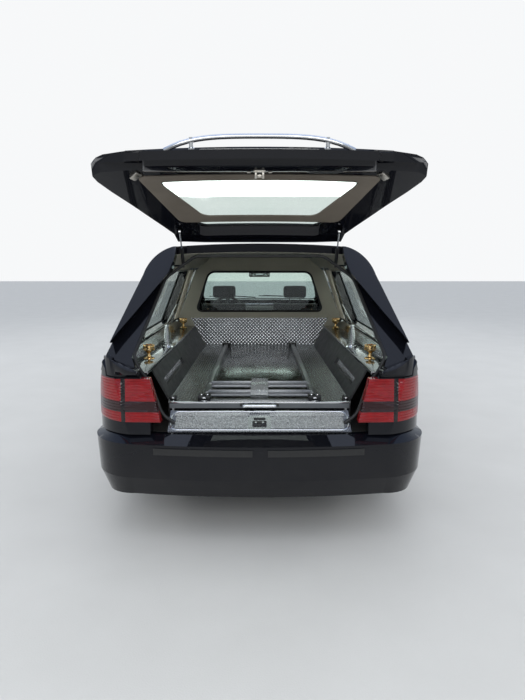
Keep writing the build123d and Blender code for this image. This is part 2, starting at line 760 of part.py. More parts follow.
def wheelhouse(station, x_from, x_to):
    """A right-hand half drum over a wheel, closed on its inner side."""
    with BuildPart() as house:
        with BuildSketch(Plane.YZ.offset(x_from)):
            with Locations((at(station), TYRE_RADIUS)):
                Circle(ARCH_RADIUS + WHEELHOUSE_WALL)
        extrude(amount=x_to - x_from)
        with BuildSketch(Plane.YZ.offset(x_from + WHEELHOUSE_WALL)):
            with Locations((at(station), TYRE_RADIUS)):
                Circle(ARCH_RADIUS - 3)
        extrude(amount=x_to - x_from, mode=Mode.SUBTRACT)
        add(block(0, 1000, station - 500, station + 500, -100, FLOOR_LOW), mode=Mode.SUBTRACT)
        add(block(0, x_from + WHEELHOUSE_WALL + 1, station - 70, station + 70, 0, SHAFT_CLEAR),
            mode=Mode.SUBTRACT)
    return house.part


floor_line = [(FLOOR_START, FLOOR_HIGH), (1540, FLOOR_HIGH), (1700, FLOOR_LOW), (BULKHEAD, FLOOR_LOW)]
floor_back = [(s, z + FLOOR_SHEET) for s, z in reversed(floor_line)]
with BuildPart() as floor_pan:
    add(side_prism(floor_line + floor_back, -HALF_WIDTH, HALF_WIDTH))
    add(lower_body(WALL_DEPTH + SEAT_GAP), mode=Mode.INTERSECT)
    for side in (1, -1):
        x_pair = sorted((side * FLOOR_REAR_HALF, side * 1000))
        add(block(*x_pair, 0, REAR_AXLE, 400, 700), mode=Mode.SUBTRACT)
    add(block(-690, 690, BULKHEAD, BULKHEAD + 14, FLOOR_LOW, 880))
    for side in (1, -1):
        x_pair = sorted((side * (RAIL_X - 30), side * (RAIL_X + 30)))
        add(block(*x_pair, BULKHEAD, NOSE - 158, 300, 400))
        with Locations(Location((side * 800, at(REAR_AXLE), TYRE_RADIUS), (0, 90, 0))):
            Cylinder(ARCH_RADIUS, 2 * (800 - REAR_HOUSE_X - 2), mode=Mode.SUBTRACT)
    add(block(-500, 500, NOSE - 200, NOSE - 180, 300, 520))
    with BuildSketch(cross_plane(NOSE - 100)):
        with Locations(TOW_EYE):
            Circle(TOW_EYE_RADIUS)
    extrude(amount=200, mode=Mode.SUBTRACT)
    rear_house = wheelhouse(REAR_AXLE, REAR_HOUSE_X, 778)
    front_house = wheelhouse(FRONT_AXLE, FRONT_HOUSE_X, 800)
    for house in (rear_house, front_house):
        add(house)
        add(mirrored(house))
write(floor_pan.part, "floor_pan")

# Load bay: deck with rails, drawer on runners, sloped sill panel, side trays and partition.
FLOOR_TOP = FLOOR_HIGH + FLOOR_SHEET
DECK_TOP = 680
DECK_SHEET = 8
DECK_START = 285
DECK_END = 2347
DECK_HALF = 484
SKIRT_X = 452
SKIRT_SHEET = 12
RAIL_GAUGE = 295
RAIL_SIZE = (28, 14)
END_BLOCK = (62, 46, 24)
RUNNER = (16, 8)
DRAWER_LOW = 655
DRAWER_LENGTH = 1240
DRAWER_FRONT_S = 240
DRAWER_FRONT = 22
DRAWER_FRONT_TOP = 688
DRAWER_SHEET = 6
with BuildPart() as coffin_deck:
    add(block(-DECK_HALF, DECK_HALF, DECK_START, DECK_END, DECK_TOP - DECK_SHEET, DECK_TOP))
    for side in (1, -1):
        skirt = sorted((side * SKIRT_X, side * (SKIRT_X + SKIRT_SHEET)))
        add(block(*skirt, DECK_START, DECK_END, FLOOR_TOP, DECK_TOP - DECK_SHEET))
        runner = sorted((side * (SKIRT_X - RUNNER[0]), side * SKIRT_X))
        add(block(*runner, DECK_START, DECK_START + DRAWER_LENGTH, DRAWER_LOW - SEAT_GAP - RUNNER[1],
                  DRAWER_LOW - SEAT_GAP))
        rail = (side * RAIL_GAUGE - RAIL_SIZE[0] / 2, side * RAIL_GAUGE + RAIL_SIZE[0] / 2)
        add(block(*rail, DECK_START + 60, DECK_END - 30, DECK_TOP, DECK_TOP + RAIL_SIZE[1]))
        end = (side * RAIL_GAUGE - END_BLOCK[0] / 2, side * RAIL_GAUGE + END_BLOCK[0] / 2)
        for start in (DECK_START + 14, DECK_END - 30 - END_BLOCK[1]):
            add(block(*end, start, start + END_BLOCK[1], DECK_TOP, DECK_TOP + END_BLOCK[2]))
    for start, deep, tall in ((DECK_START + 150, 34, 16), (DECK_START + 380, 34, 16)):
        add(block(-300, 300, start, start + deep, DECK_TOP, DECK_TOP + tall))
write(coffin_deck.part, "coffin_deck")

DRAWER_HALF = SKIRT_X - 6
with BuildPart() as drawer:
    tray_from = DRAWER_FRONT_S + DRAWER_FRONT
    tray_to = DECK_START + DRAWER_LENGTH - 30
    tray_top = DECK_TOP - DECK_SHEET - 1
    add(block(-DRAWER_HALF, DRAWER_HALF, tray_from, tray_to, DRAWER_LOW, tray_top))
    add(block(-DRAWER_HALF + DRAWER_SHEET, DRAWER_HALF - DRAWER_SHEET, tray_from + DRAWER_SHEET,
              tray_to - DRAWER_SHEET, DRAWER_LOW + DRAWER_SHEET, tray_top + 10), mode=Mode.SUBTRACT)
    add(block(-470, 470, DRAWER_FRONT_S, tray_from, DRAWER_LOW, DRAWER_FRONT_TOP))
    with BuildSketch(Plane.YZ.offset(-88)):
        with Locations((at(DRAWER_FRONT_S - 26), (DRAWER_LOW + DRAWER_FRONT_TOP) / 2 + 2)):
            Circle(8)
    extrude(amount=176)
    for x in (-70, 70):
        add(block(x - 8, x + 8, DRAWER_FRONT_S - 26, DRAWER_FRONT_S, 668, 680))
write(drawer.part, "drawer")

SILL_FOOT = (112, 568)
SILL_CREST = (228, 646)
SILL_SHEET = 8
SILL_HALF = 462
with BuildPart() as sill_panel:
    add(side_prism([
        SILL_FOOT,
        SILL_CREST,
        (SILL_CREST[0] + SILL_SHEET, SILL_CREST[1]),
        (SILL_CREST[0] + SILL_SHEET, FLOOR_TOP),
        (SILL_CREST[0], FLOOR_TOP),
        (SILL_CREST[0], SILL_CREST[1] - SILL_SHEET - 4),
        (SILL_FOOT[0] + 4, SILL_FOOT[1] - SILL_SHEET),
    ], -SILL_HALF, SILL_HALF))
write(sill_panel.part, "sill_panel")

TRAY_HEIGHT = 850
TRAY_SHEET = 8
TRAY_LINE = [(DECK_HALF + 2, FLOOR_TOP), (DECK_HALF + 2, DECK_TOP - 4), (580, TRAY_HEIGHT), (706, TRAY_HEIGHT)]
TRAY_BACK = [
    (706, TRAY_HEIGHT - TRAY_SHEET),
    (585, TRAY_HEIGHT - TRAY_SHEET),
    (DECK_HALF + 2 + TRAY_SHEET, DECK_TOP - 8),
    (DECK_HALF + 2 + TRAY_SHEET, FLOOR_TOP),
]
SLOT_S = [(470, 1160)]
with BuildPart() as side_tray:
    add(front_prism(TRAY_LINE + TRAY_BACK, 345, DECK_END))
    for start, end in SLOT_S:
        add(block(500, 560, start, end, 728, 768), mode=Mode.SUBTRACT)
write(Compound([side_tray.part.solid(), mirrored(side_tray.part).solid()]), "side_trays")

LAMPS = [(648, 620), (662, 2180)]
COLUMN = (614, 1070)
LAMP_LINE = [(0, 0), (34, 0), (34, 8), (12, 14), (9, 40), (26, 48), (30, 78), (14, 88), (0, 88)]
COLUMN_LINE = [(0, 0), (40, 0), (40, 10), (31, 18), (13, 132), (18, 140), (16, 150), (0, 150)]


def upright_plane(x, station, height):
    return Plane(origin=(x, at(station), height), x_dir=(1, 0, 0), z_dir=(0, -1, 0))


pieces = []
for x, s in LAMPS:
    with BuildPart() as lamp:
        with BuildSketch(upright_plane(x, s, TRAY_HEIGHT)):
            with BuildLine():
                Polyline(*LAMP_LINE, close=True)
            make_face()
        revolve(axis=Axis((x, at(s), 0), (0, 0, 1)))
    pieces.append(lamp.part.solid())
with BuildPart() as column:
    with BuildSketch(upright_plane(*COLUMN, TRAY_HEIGHT)):
        with BuildLine():
            Polyline(*COLUMN_LINE, close=True)
        make_face()
    revolve(axis=Axis((COLUMN[0], at(COLUMN[1]), 0), (0, 0, 1)))
pieces.append(column.part.solid())
write(Compound(pieces + [mirrored(p) for p in pieces]), "tray_lamps")

PARTITION_S = 2352
PARTITION_SHEET = 20
PARTITION_HALF = [(704, FLOOR_LOW + FLOOR_SHEET), (752, 560), (722, 925), (566, 1340), (430, 1452), (0, 1478)]
partition_line = [(-x, z) for x, z in PARTITION_HALF[:-1]] + PARTITION_HALF[::-1]
PARTITION_WINDOW = [(-562, 984), (562, 984), (445, 1330), (-445, 1330)]
with BuildPart() as partition_wall:
    add(front_prism(partition_line, PARTITION_S, PARTITION_S + PARTITION_SHEET))
    add(front_prism(PARTITION_WINDOW, 2000, 2600, 30), mode=Mode.SUBTRACT)
write(partition_wall.part, "partition_wall")
write(front_prism(PARTITION_WINDOW, PARTITION_S + 8, PARTITION_S + 13, 30, grow=-SEAT_GAP), "partition_window")

# Cab.
DASH = [(BULKHEAD, 600), (BULKHEAD, 872), (4200, 896), (3990, 890), (3890, 800), (3930, 640)]
WHEEL_PLACE = (-372, 3740, 850)
WHEEL_TILT = 24
with BuildPart() as dashboard:
    add(side_prism(DASH, -672, 672, 20))
    rim_plane = Plane(
        origin=(WHEEL_PLACE[0], at(WHEEL_PLACE[1]), WHEEL_PLACE[2]),
        x_dir=(1, 0, 0),
        z_dir=(0, cos(radians(WHEEL_TILT)), -sin(radians(WHEEL_TILT))),
    )
    with BuildSketch(rim_plane):
        Circle(40)
        for turn in (0, 120, 240):
            with Locations(Rot(0, 0, turn - 90) * Pos(95, 0, 0)):
                Rectangle(190, 34)
    extrude(amount=18, both=True)
    with BuildSketch(rim_plane):
        Circle(36)
    extrude(amount=230)
    with Locations(rim_plane.location):
        Torus(185, 15)
write(dashboard.part, "dashboard")

SEAT_X = 375
SEAT_WIDE = 510
SEAT_LINE = [(3370, 278), (3800, 278), (3800, 330), (3860, 390), (3850, 505), (3440, 480), (3330, 1000),
             (3210, 1000), (3280, 470), (3300, 350), (3370, 330)]
HEADREST = [(3240, 1000), (3300, 1000), (3310, 1040), (3330, 1180), (3250, 1190), (3226, 1040)]
with BuildPart() as seat:
    add(side_prism(SEAT_LINE, SEAT_X - SEAT_WIDE / 2, SEAT_X + SEAT_WIDE / 2))
    add(side_prism(HEADREST, SEAT_X - 130, SEAT_X + 130))
write(Compound([seat.part.solid(), mirrored(seat.part).solid()]), "front_seats")

ENGINE_HALF = 240
write(block(-ENGINE_HALF, ENGINE_HALF, 4400, 5080, 290, 750), "engine_block")

# Gas struts, between pins on the side panels and pins on the tailgate.
strut_head = swung(*STRUT_HEAD)
strut_run = (strut_head[0] - STRUT_FOOT[0], strut_head[1] - STRUT_FOOT[1])
strut_long = hypot(*strut_run)
TUBE_LONG = 122
TUBE_RADIUS = 10
ROD_RADIUS = 4
EYE_RADIUS = 11
strut_dir = (0, strut_run[0] / strut_long, strut_run[1] / strut_long)


def strut_plane(point, x):
    return Plane(origin=(x, at(point[0]), point[1]), x_dir=(1, 0, 0), z_dir=strut_dir)


tubes = []
rods = []
for side in (1, -1):
    foot_plane = strut_plane(STRUT_FOOT, side * STRUT_X)
    with BuildPart() as tube:
        add(cross_pin(STRUT_FOOT, EYE_RADIUS, side * STRUT_X - EYE_HALF, side * STRUT_X + EYE_HALF))
        with BuildSketch(foot_plane.offset(EYE_RADIUS - 3)):
            Circle(TUBE_RADIUS)
        extrude(amount=TUBE_LONG - EYE_RADIUS)
        with BuildSketch(foot_plane.offset(EYE_RADIUS + 4)):
            Circle(ROD_RADIUS + SEAT_GAP)
        extrude(amount=TUBE_LONG, mode=Mode.SUBTRACT)
        add(cross_pin(STRUT_FOOT, PIN_RADIUS + SEAT_GAP, side * STRUT_X - 20, side * STRUT_X + 20),
            mode=Mode.SUBTRACT)
    tubes.append(tube.part.solid())
    with BuildPart() as rod:
        add(cross_pin(strut_head, EYE_RADIUS, side * STRUT_X - EYE_HALF, side * STRUT_X + EYE_HALF))
        with BuildSketch(foot_plane.offset(TUBE_LONG - 10)):
            Circle(ROD_RADIUS)
        extrude(amount=strut_long - TUBE_LONG + 10 - EYE_RADIUS + 3)
        add(cross_pin(strut_head, PIN_RADIUS + SEAT_GAP, side * STRUT_X - 20, side * STRUT_X + 20),
            mode=Mode.SUBTRACT)
    rods.append(rod.part.solid())
write(Compound(tubes), "strut_tubes")
write(Compound(rods), "strut_rods")

# Chrome grip strip across the tailgate's lower panel.
STRIP_Z = 700
STRIP_TALL = 34
STRIP_PROUD = 42
STRIP_HALF = 392
with BuildPart() as grip_strip:
    add(lower_gate(-STRIP_PROUD, -STRIP_PROUD + 12))
    add(block(-STRIP_HALF, STRIP_HALF, 0, 200, STRIP_Z, STRIP_Z + STRIP_TALL), mode=Mode.INTERSECT)
    for side in (1, -1):
        x_pair = sorted((side * (STRIP_HALF - 60), side * (STRIP_HALF - 30)))
        foot = lower_gate(-STRIP_PROUD + 4, 0)
        add(foot & block(*x_pair, 0, 200, STRIP_Z + 4, STRIP_Z + STRIP_TALL - 4))
write(opened(grip_strip.part), "tailgate_grip_strip")

# Running gear.
KINGPIN_X = 690
POST_RADIUS = 22
SPINDLE_RADIUS = 16
HUB_FACE = 775
ARM_TOP = 235
with BuildPart() as front_subframe:
    add(block(-400, 400, FRONT_AXLE - 110, FRONT_AXLE + 90, 232, 290))
    for side in (1, -1):
        x_pair = sorted((side * 396, side * 460))
        add(block(*x_pair, FRONT_AXLE - 110, FRONT_AXLE + 90, 232, 300))
        arm = sorted((side * 396, side * (KINGPIN_X - 4)))
        add(block(*arm, FRONT_AXLE - 26, FRONT_AXLE + 26, ARM_TOP - 22, ARM_TOP))
        with Locations((side * KINGPIN_X, at(FRONT_AXLE), ARM_TOP - 11)):
            Cylinder(32, 22)
write(front_subframe.part, "front_subframe")

for place, side in (("right", 1), ("left", -1)):
    with BuildPart() as knuckle:
        with BuildSketch(Plane.XY.offset(ARM_TOP + SEAT_GAP)):
            with Locations((side * KINGPIN_X, at(FRONT_AXLE))):
                Circle(POST_RADIUS)
        extrude(amount=165)
        x_pair = sorted((side * KINGPIN_X, side * HUB_FACE))
        add(cross_pin((FRONT_AXLE, TYRE_RADIUS), SPINDLE_RADIUS, *x_pair))
    write(knuckle.part, f"{place}_knuckle")

FINAL_DRIVE = (116, 100)
with BuildPart() as final_drive:
    add(cross_pin((REAR_AXLE, TYRE_RADIUS), FINAL_DRIVE[0], -FINAL_DRIVE[1], FINAL_DRIVE[1]))
    fillet(final_drive.edges().filter_by(GeomType.CIRCLE), 52)
with BuildPart() as rear_axle:
    add(cross_pin((REAR_AXLE, TYRE_RADIUS), SPINDLE_RADIUS, -HUB_FACE, HUB_FACE))
    add(cross_pin((REAR_AXLE, TYRE_RADIUS), 34, -610, 610))
    add(final_drive.part)
    for side in (1, -1):
        x_pair = sorted((side * 360, side * 420))
        add(block(*x_pair, REAR_AXLE - 60, REAR_AXLE + 60, TYRE_RADIUS - 20, FLOOR_HIGH))
write(rear_axle.part, "rear_axle")

WHEEL_X = TRACK / 2
TYRE_HALF = TYRE_WIDTH / 2
RIM_HALF = 98
RIM_WALL = 12
DISC_X = 62
AXLES = {"front": FRONT_AXLE, "rear": REAR_AXLE}
for axle, station in AXLES.items():
    wheel_axis = Axis((0, at(station), TYRE_RADIUS), (1, 0, 0))
    with BuildPart() as tyre:
        with BuildSketch(Plane.XY.offset(TYRE_RADIUS)):
            with BuildLine():
                low = at(station) + RIM_RADIUS
                top = at(station) + TYRE_RADIUS
                left = WHEEL_X - TYRE_HALF
                right = WHEEL_X + TYRE_HALF
                Line((left + 12, low), (right - 12, low))
                ThreePointArc((right - 12, low), (right, low + 52), (right - 14, top - 22))
                ThreePointArc((right - 14, top - 22), (right - 20, top - 9), (right - 34, top - 3))
                ThreePointArc((right - 34, top - 3), (WHEEL_X, top), (left + 34, top - 3))
                ThreePointArc((left + 34, top - 3), (left + 20, top - 9), (left + 14, top - 22))
                ThreePointArc((left + 14, top - 22), (left, low + 52), (left + 12, low))
            make_face()
        revolve(axis=wheel_axis)
    with BuildPart() as rim:
        with BuildSketch(Plane.XY.offset(TYRE_RADIUS)):
            with BuildLine():
                y = at(station)
                outer = RIM_RADIUS - SEAT_GAP
                Polyline(
                    (WHEEL_X - RIM_HALF, y + outer),
                    (WHEEL_X + RIM_HALF, y + outer),
                    (WHEEL_X + RIM_HALF, y + outer - 10),
                    (WHEEL_X + DISC_X + 14, y + outer - 26),
                    (WHEEL_X + DISC_X, y + HUB_RADIUS + 20),
                    (WHEEL_X + DISC_X - 4, y + HUB_RADIUS - 20),
                    (WHEEL_X + DISC_X - 4, y),
                    (HUB_FACE + 2, y),
                    (HUB_FACE + 2, y + SPINDLE_RADIUS + SEAT_GAP),
                    (HUB_FACE - 35, y + SPINDLE_RADIUS + SEAT_GAP),
                    (HUB_FACE - 35, y + HUB_RADIUS),
                    (WHEEL_X + DISC_X - 26, y + HUB_RADIUS + 4),
                    (WHEEL_X + DISC_X - 18, y + outer - RIM_WALL - 20),
                    (WHEEL_X + DISC_X - 30, y + outer - RIM_WALL),
                    (WHEEL_X - RIM_HALF, y + outer - RIM_WALL),
                    close=True,
                )
            make_face()
        revolve(axis=wheel_axis)
        with BuildSketch(Plane.YZ.offset(WHEEL_X)):
            with Locations((at(station), TYRE_RADIUS)):
                with PolarLocations(128, 8):
                    SlotCenterToCenter(44, 36)
        extrude(amount=120, mode=Mode.SUBTRACT)
    for place, side in (("right", 1), ("left", -1)):
        write(tyre.part if side > 0 else mirrored(tyre.part), f"{place}_{axle}_tyre")
        write(rim.part if side > 0 else mirrored(rim.part), f"{place}_{axle}_rim")
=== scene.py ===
from math import cos, pi, radians, sin

import bmesh
import bpy
from mathutils import Matrix, Vector
from mathutils.bvhtree import BVHTree


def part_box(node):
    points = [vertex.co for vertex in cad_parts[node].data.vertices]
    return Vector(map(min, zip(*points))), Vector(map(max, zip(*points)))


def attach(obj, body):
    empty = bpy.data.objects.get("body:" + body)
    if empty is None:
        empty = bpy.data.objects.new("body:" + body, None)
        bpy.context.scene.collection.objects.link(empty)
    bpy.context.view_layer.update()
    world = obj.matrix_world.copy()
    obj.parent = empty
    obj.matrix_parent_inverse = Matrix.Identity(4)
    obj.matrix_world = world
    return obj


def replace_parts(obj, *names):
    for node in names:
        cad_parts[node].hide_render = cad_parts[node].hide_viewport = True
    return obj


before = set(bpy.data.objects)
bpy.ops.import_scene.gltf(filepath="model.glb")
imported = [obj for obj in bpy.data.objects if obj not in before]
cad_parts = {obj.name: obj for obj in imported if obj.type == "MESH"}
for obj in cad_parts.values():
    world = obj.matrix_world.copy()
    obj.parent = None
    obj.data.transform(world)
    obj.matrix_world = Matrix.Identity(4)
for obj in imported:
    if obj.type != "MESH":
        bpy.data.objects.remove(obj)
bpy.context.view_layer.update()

# The studio: a wide pale floor, a soft sky, large lamps over and behind the car, and the camera
# standing low behind the open tailgate, as the photograph was taken.
MIDDLE = 2.648512
CAMERA_BACK, CAMERA_HEIGHT, CAMERA_DIP = 2.53, 1.4, 8.967


def spot(x, station, height):
    """A point x to the right of the middle, and a station forward of the rear bumper's face."""
    return Vector((x, station - MIDDLE, height))


lens = bpy.data.cameras.new("photo_camera")
lens.lens = 28.03
lens.shift_x = 0.0043
camera = bpy.data.objects.new("photo_camera", lens)
camera.location = spot(0.0, -CAMERA_BACK, CAMERA_HEIGHT)
camera.rotation_euler = (radians(90 - CAMERA_DIP), 0, 0)
bpy.context.scene.collection.objects.link(camera)
bpy.context.scene.camera = camera
bpy.context.scene.view_settings.view_transform = "Standard"

for name, size, place, turn, watts in (
    ("lamp_overhead", (5.0, 8.0), (0.0, -0.5, 5.2), (0, 0, 0), 70),
    ("lamp_rear", (4.0, 2.2), (0.0, -7.6, 3.0), (62, 0, 0), 90),
    ("lamp_left", (1.2, 7.0), (-6.5, 0.0, 3.4), (0, -66, 0), 60),
    ("lamp_right", (1.2, 7.0), (6.5, 0.0, 3.4), (0, 66, 0), 60),
    ("lamp_front", (6.0, 1.2), (0.0, 8.5, 3.6), (-66, 0, 0), 50),
):
    lamp = bpy.data.lights.new(name, "AREA")
    lamp.shape = "RECTANGLE"
    lamp.size, lamp.size_y = size
    lamp.energy = watts
    holder = bpy.data.objects.new(name, lamp)
    holder.location = place
    holder.rotation_euler = [radians(angle) for angle in turn]
    bpy.context.scene.collection.objects.link(holder)


class Wire:
    """A socket of a node tree: sums written on it add Math nodes, and node() adds any other."""

    def __init__(self, tree, socket=None):
        self.tree = tree
        self.socket = socket

    def node(self, kind, settings=(), stops=(), out=0, **sockets):
        made = self.tree.nodes.new("ShaderNode" + kind)
        for name, value in dict(settings).items():
            setattr(made, name, value)
        if stops:
            ramp = made.color_ramp.elements
            while len(ramp) < len(stops):
                ramp.new(1.0)
            for element, (place, colour) in zip(ramp, stops):
                element.position = place
                element.color = (*colour, 1.0)
        for name, value in sockets.items():
            key = int(name[1:]) if name[1:].isdigit() else name.replace("_", " ")
            target = made.inputs[key]
            if isinstance(value, Wire):
                self.tree.links.new(value.socket, target)
            else:
                target.default_value = value
        return Wire(self.tree, made.outputs[out])

    def output(self, key):
        """Another output of the same node."""
        return Wire(self.tree, self.socket.node.outputs[key])

    def math(self, operation, *values, clamp=False):
        sockets = {f"_{number}": value for number, value in enumerate(values)}
        return self.node("Math", {"operation": operation, "use_clamp": clamp}, **sockets)

    def __add__(self, other):
        return self.math("ADD", self, other)

    def __rsub__(self, other):
        return self.math("SUBTRACT", other, self)

    def __mul__(self, other):
        return self.math("MULTIPLY", self, other)

    def __pow__(self, other):
        return self.math("POWER", self, other)

    def __gt__(self, other):
        return self.math("GREATER_THAN", self, other)

    def __lt__(self, other):
        return self.math("LESS_THAN", self, other)


world = bpy.data.worlds.new("soft_sky")
world.use_nodes = True
bpy.context.scene.world = world
sky = Wire(world.node_tree)
path = sky.node("LightPath")
seen = path.math("MAXIMUM", path, path.output("Is Transmission Ray"))
upwards = sky.node("SeparateXYZ", out=2, Vector=sky.node("TexCoord"))
glow = sky.node("ValToRGB", stops=(
    (0.0, (0.20, 0.20, 0.20)),
    (0.49, (0.24, 0.25, 0.26)),
    (0.56, (0.40, 0.44, 0.50)),
    (0.74, (0.62, 0.70, 0.84)),
    (1.0, (0.24, 0.36, 0.66)),
), Fac=upwards * 0.5 + 0.5)
plain = sky.node("Background", Color=(0.90, 0.94, 1.0, 1), Strength=0.95)
shown = sky.node("Background", Color=(0.93, 0.94, 0.95, 1), Strength=1.0)
glossy = sky.node("Background", Color=glow, Strength=1.0)
inner = sky.node("MixShader", Fac=path.output("Is Glossy Ray"), _1=plain, _2=glossy)
outer = sky.node("MixShader", Fac=seen, _1=inner, _2=shown)
world.node_tree.links.new(outer.socket, world.node_tree.nodes["World Output"].inputs["Surface"])

fills = {}


def finish(name, slot, colour, roughness, metallic=0.0, tones=None, shine=None, bumps=None, **sockets):
    """A named finish that fills a slot of the record.

    tones are a noise's scale and detail and the two colours it runs between, shine is what mottle
    takes for the roughness, and bumps are a noise's scale and detail and its depth in metres.
    """
    material = bpy.data.materials.new(name)
    fills[material.name] = slot
    material.use_nodes = True
    shader, wire = inside(material)
    sockets.update(Base_Color=(*colour, 1.0), Roughness=roughness, Metallic=metallic)
    for socket, value in sockets.items():
        shader.inputs[socket.replace("_", " ")].default_value = value
    if tones:
        feed(shader, "Base Color", blend(grain(wire, *tones[:2]), *tones[2:]))
    if shine:
        feed(shader, "Roughness", mottle(wire, *shine))
    if bumps:
        relief(shader, grain(wire, *bumps[:2]), bumps[2])
    return material


def inside(material):
    """A material's shader, and the wire that its nodes are drawn from."""
    return material.node_tree.nodes["Principled BSDF"], Wire(material.node_tree)


def feed(shader, socket, wire):
    shader.id_data.links.new(wire.socket, shader.inputs[socket])


def relief(shader, height, depth):
    """A bump from a height that runs 0 to 1, depth metres deep."""
    feed(shader, "Normal", height.node("Bump", Strength=1.0, Distance=depth, Height=height))


def grain(wire, scale, detail, stretch=None):
    """Noise on object coordinates, scale blotches to the metre."""
    place = wire.node("TexCoord", out="Object")
    if stretch:
        place = wire.node("Mapping", Vector=place, Scale=stretch)
    return wire.node("TexNoise", Vector=place, Scale=scale, Detail=detail)


def mottle(wire, scale, detail, span, floor, power=1, stretch=None):
    """A noise raised to a power, that runs over a span from a floor."""
    noise = grain(wire, scale, detail, stretch)
    return (noise if power == 1 else noise ** power) * span + floor


def blend(factor, one, other):
    """One colour where the factor is 0 and another where it is 1."""
    one, other = [colour if isinstance(colour, Wire) else (*colour, 1) for colour in (one, other)]
    return factor.node("Mix", {"data_type": "RGBA"}, out=2, _0=factor, _6=one, _7=other)


def parts_of(wire):
    """The x, y and z of object coordinates."""
    split = wire.node("SeparateXYZ", Vector=wire.node("TexCoord", out="Object"))
    return [split.output(number) for number in range(3)]


def placed(name, bm):
    """A mesh as an object of the scene. The bmesh is used up."""
    mesh = bpy.data.meshes.new(name)
    bm.to_mesh(mesh)
    bm.free()
    made = bpy.data.objects.new(name, mesh)
    bpy.context.scene.collection.objects.link(made)
    return made


def mounted(made, material, body, slot=None):
    """An object in its finish, riding on a body. Its slot, the finish's or another, is looked up but not
    used.
    """
    made.data.materials.clear()
    made.data.materials.append(material)
    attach(made, body)
    slot = slot or fills[material.name]
    return made


def piece(name, bm, material, body="root", slot=None, crease=32):
    """A finished mesh as its own object, smooth but for its creases."""
    made = placed(name, bm)
    made.data.shade_smooth()
    made.data.set_sharp_from_angle(angle=radians(crease))
    return mounted(made, material, body, slot)


ground = bmesh.new()
bmesh.ops.create_grid(ground, x_segments=4, y_segments=4, size=40)
studio_floor = placed("studio_floor", ground)
studio_floor.data.materials.append(finish(
    "studio_floor", None, (0.60, 0.60, 0.585), 0.75,
    tones=(2.2, 4.0, (0.56, 0.56, 0.545), (0.63, 0.63, 0.615)), bumps=(160, 3.0, 0.0008)))

# The outer panels: pressed steel under deep black paint and a clear coat, a little dusty low down.
# Wings, roof, bonnet, doors, tailgate and bumpers are sprayed alike.
SIDES = (("right", 1), ("left", -1))
PANELS = ["roof_panel", "cowl_panel", "bonnet", "front_bumper", "rear_bumper", "tailgate"]
for side, _ in SIDES:
    PANELS += [f"{side}_{part}" for part in ("side_panel", "front_wing", "front_door", "rear_door")]
DUST_LINE = 0.55
black_paint = finish(
    "black_paint", "black_paint", (0.003, 0.0035, 0.006), 0.4, bumps=(420, 1.0, 0.00002),
    Specular_IOR_Level=0.03, Coat_Weight=1.0, Coat_Roughness=0.02, Coat_IOR=1.36)
shader, wire = inside(black_paint)
below = DUST_LINE - parts_of(wire)[2]
low_dust = below.math("MULTIPLY", below, 1.6, clamp=True)
film = low_dust * grain(wire, 7, 4.0) * 0.5 + grain(wire, 3.0, 3.0) * 0.02
feed(shader, "Base Color", blend(film, (0.003, 0.0035, 0.006), (0.06, 0.057, 0.052)))
feed(shader, "Roughness", film * 0.5 + 0.28)


def dress(material, *nodes):
    for node in nodes:
        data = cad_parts[node].data
        data.materials.clear()
        data.materials.append(material)


dress(black_paint, *PANELS)

# Below and behind the panels: a floor pressed from sheet, sprayed with grey underseal, and the
# plain castings and forgings that carry the wheels.
dress(finish(
    "underseal", None, (0.03, 0.03, 0.03), 0.8, bumps=(260, 3.0, 0.0012),
    tones=(9, 5.0, (0.018, 0.018, 0.018), (0.05, 0.047, 0.043))), "floor_pan")
dress(finish(
    "cast_iron", "iron", (0.06, 0.058, 0.055), 0.62, 0.6, bumps=(500, 3.0, 0.0006),
    tones=(30, 5.0, (0.035, 0.033, 0.03), (0.13, 0.10, 0.08))),
      "engine_block", "front_subframe", "rear_axle", "left_knuckle", "right_knuckle")

# The window glass: toughened panes tinted faintly green, bonded in from outside against a black
# rubber seal that runs round each one.
MERGE = 1e-5
RAY_SIDE, RAY_FRONT = 1.2, 5.2
glass = finish("window_glass", None, (0.78, 0.88, 0.83), 0.01, Transmission_Weight=1.0, IOR=1.45)
shader, wire = inside(glass)
smear = grain(wire, 5, 4.0)
feed(shader, "Roughness", smear ** 4.0 * 0.16)
feed(shader, "Base Color", blend(smear, (0.74, 0.85, 0.80), (0.83, 0.91, 0.87)))
dress(glass, *[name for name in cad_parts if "window" in name or name == "windscreen"])
rubber = finish(
    "seal_rubber", "black_plastic", (0.012, 0.012, 0.012), 0.55, shine=(40, 3.0, 0.25, 0.42),
    bumps=(900, 2.0, 0.0002))


def surface(name):
    """A CAD node's faces, or a finished piece's, to be touched by rays."""
    data = (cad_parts.get(name) or bpy.data.objects[name]).data
    return BVHTree.FromPolygons([v.co for v in data.vertices], [p.vertices for p in data.polygons])


def rounded(bm, geom, offset, segments=4, affect="EDGES"):
    bmesh.ops.bevel(bm, geom=geom, offset=offset, affect=affect, segments=segments, profile=0.5,
                    material=-1)


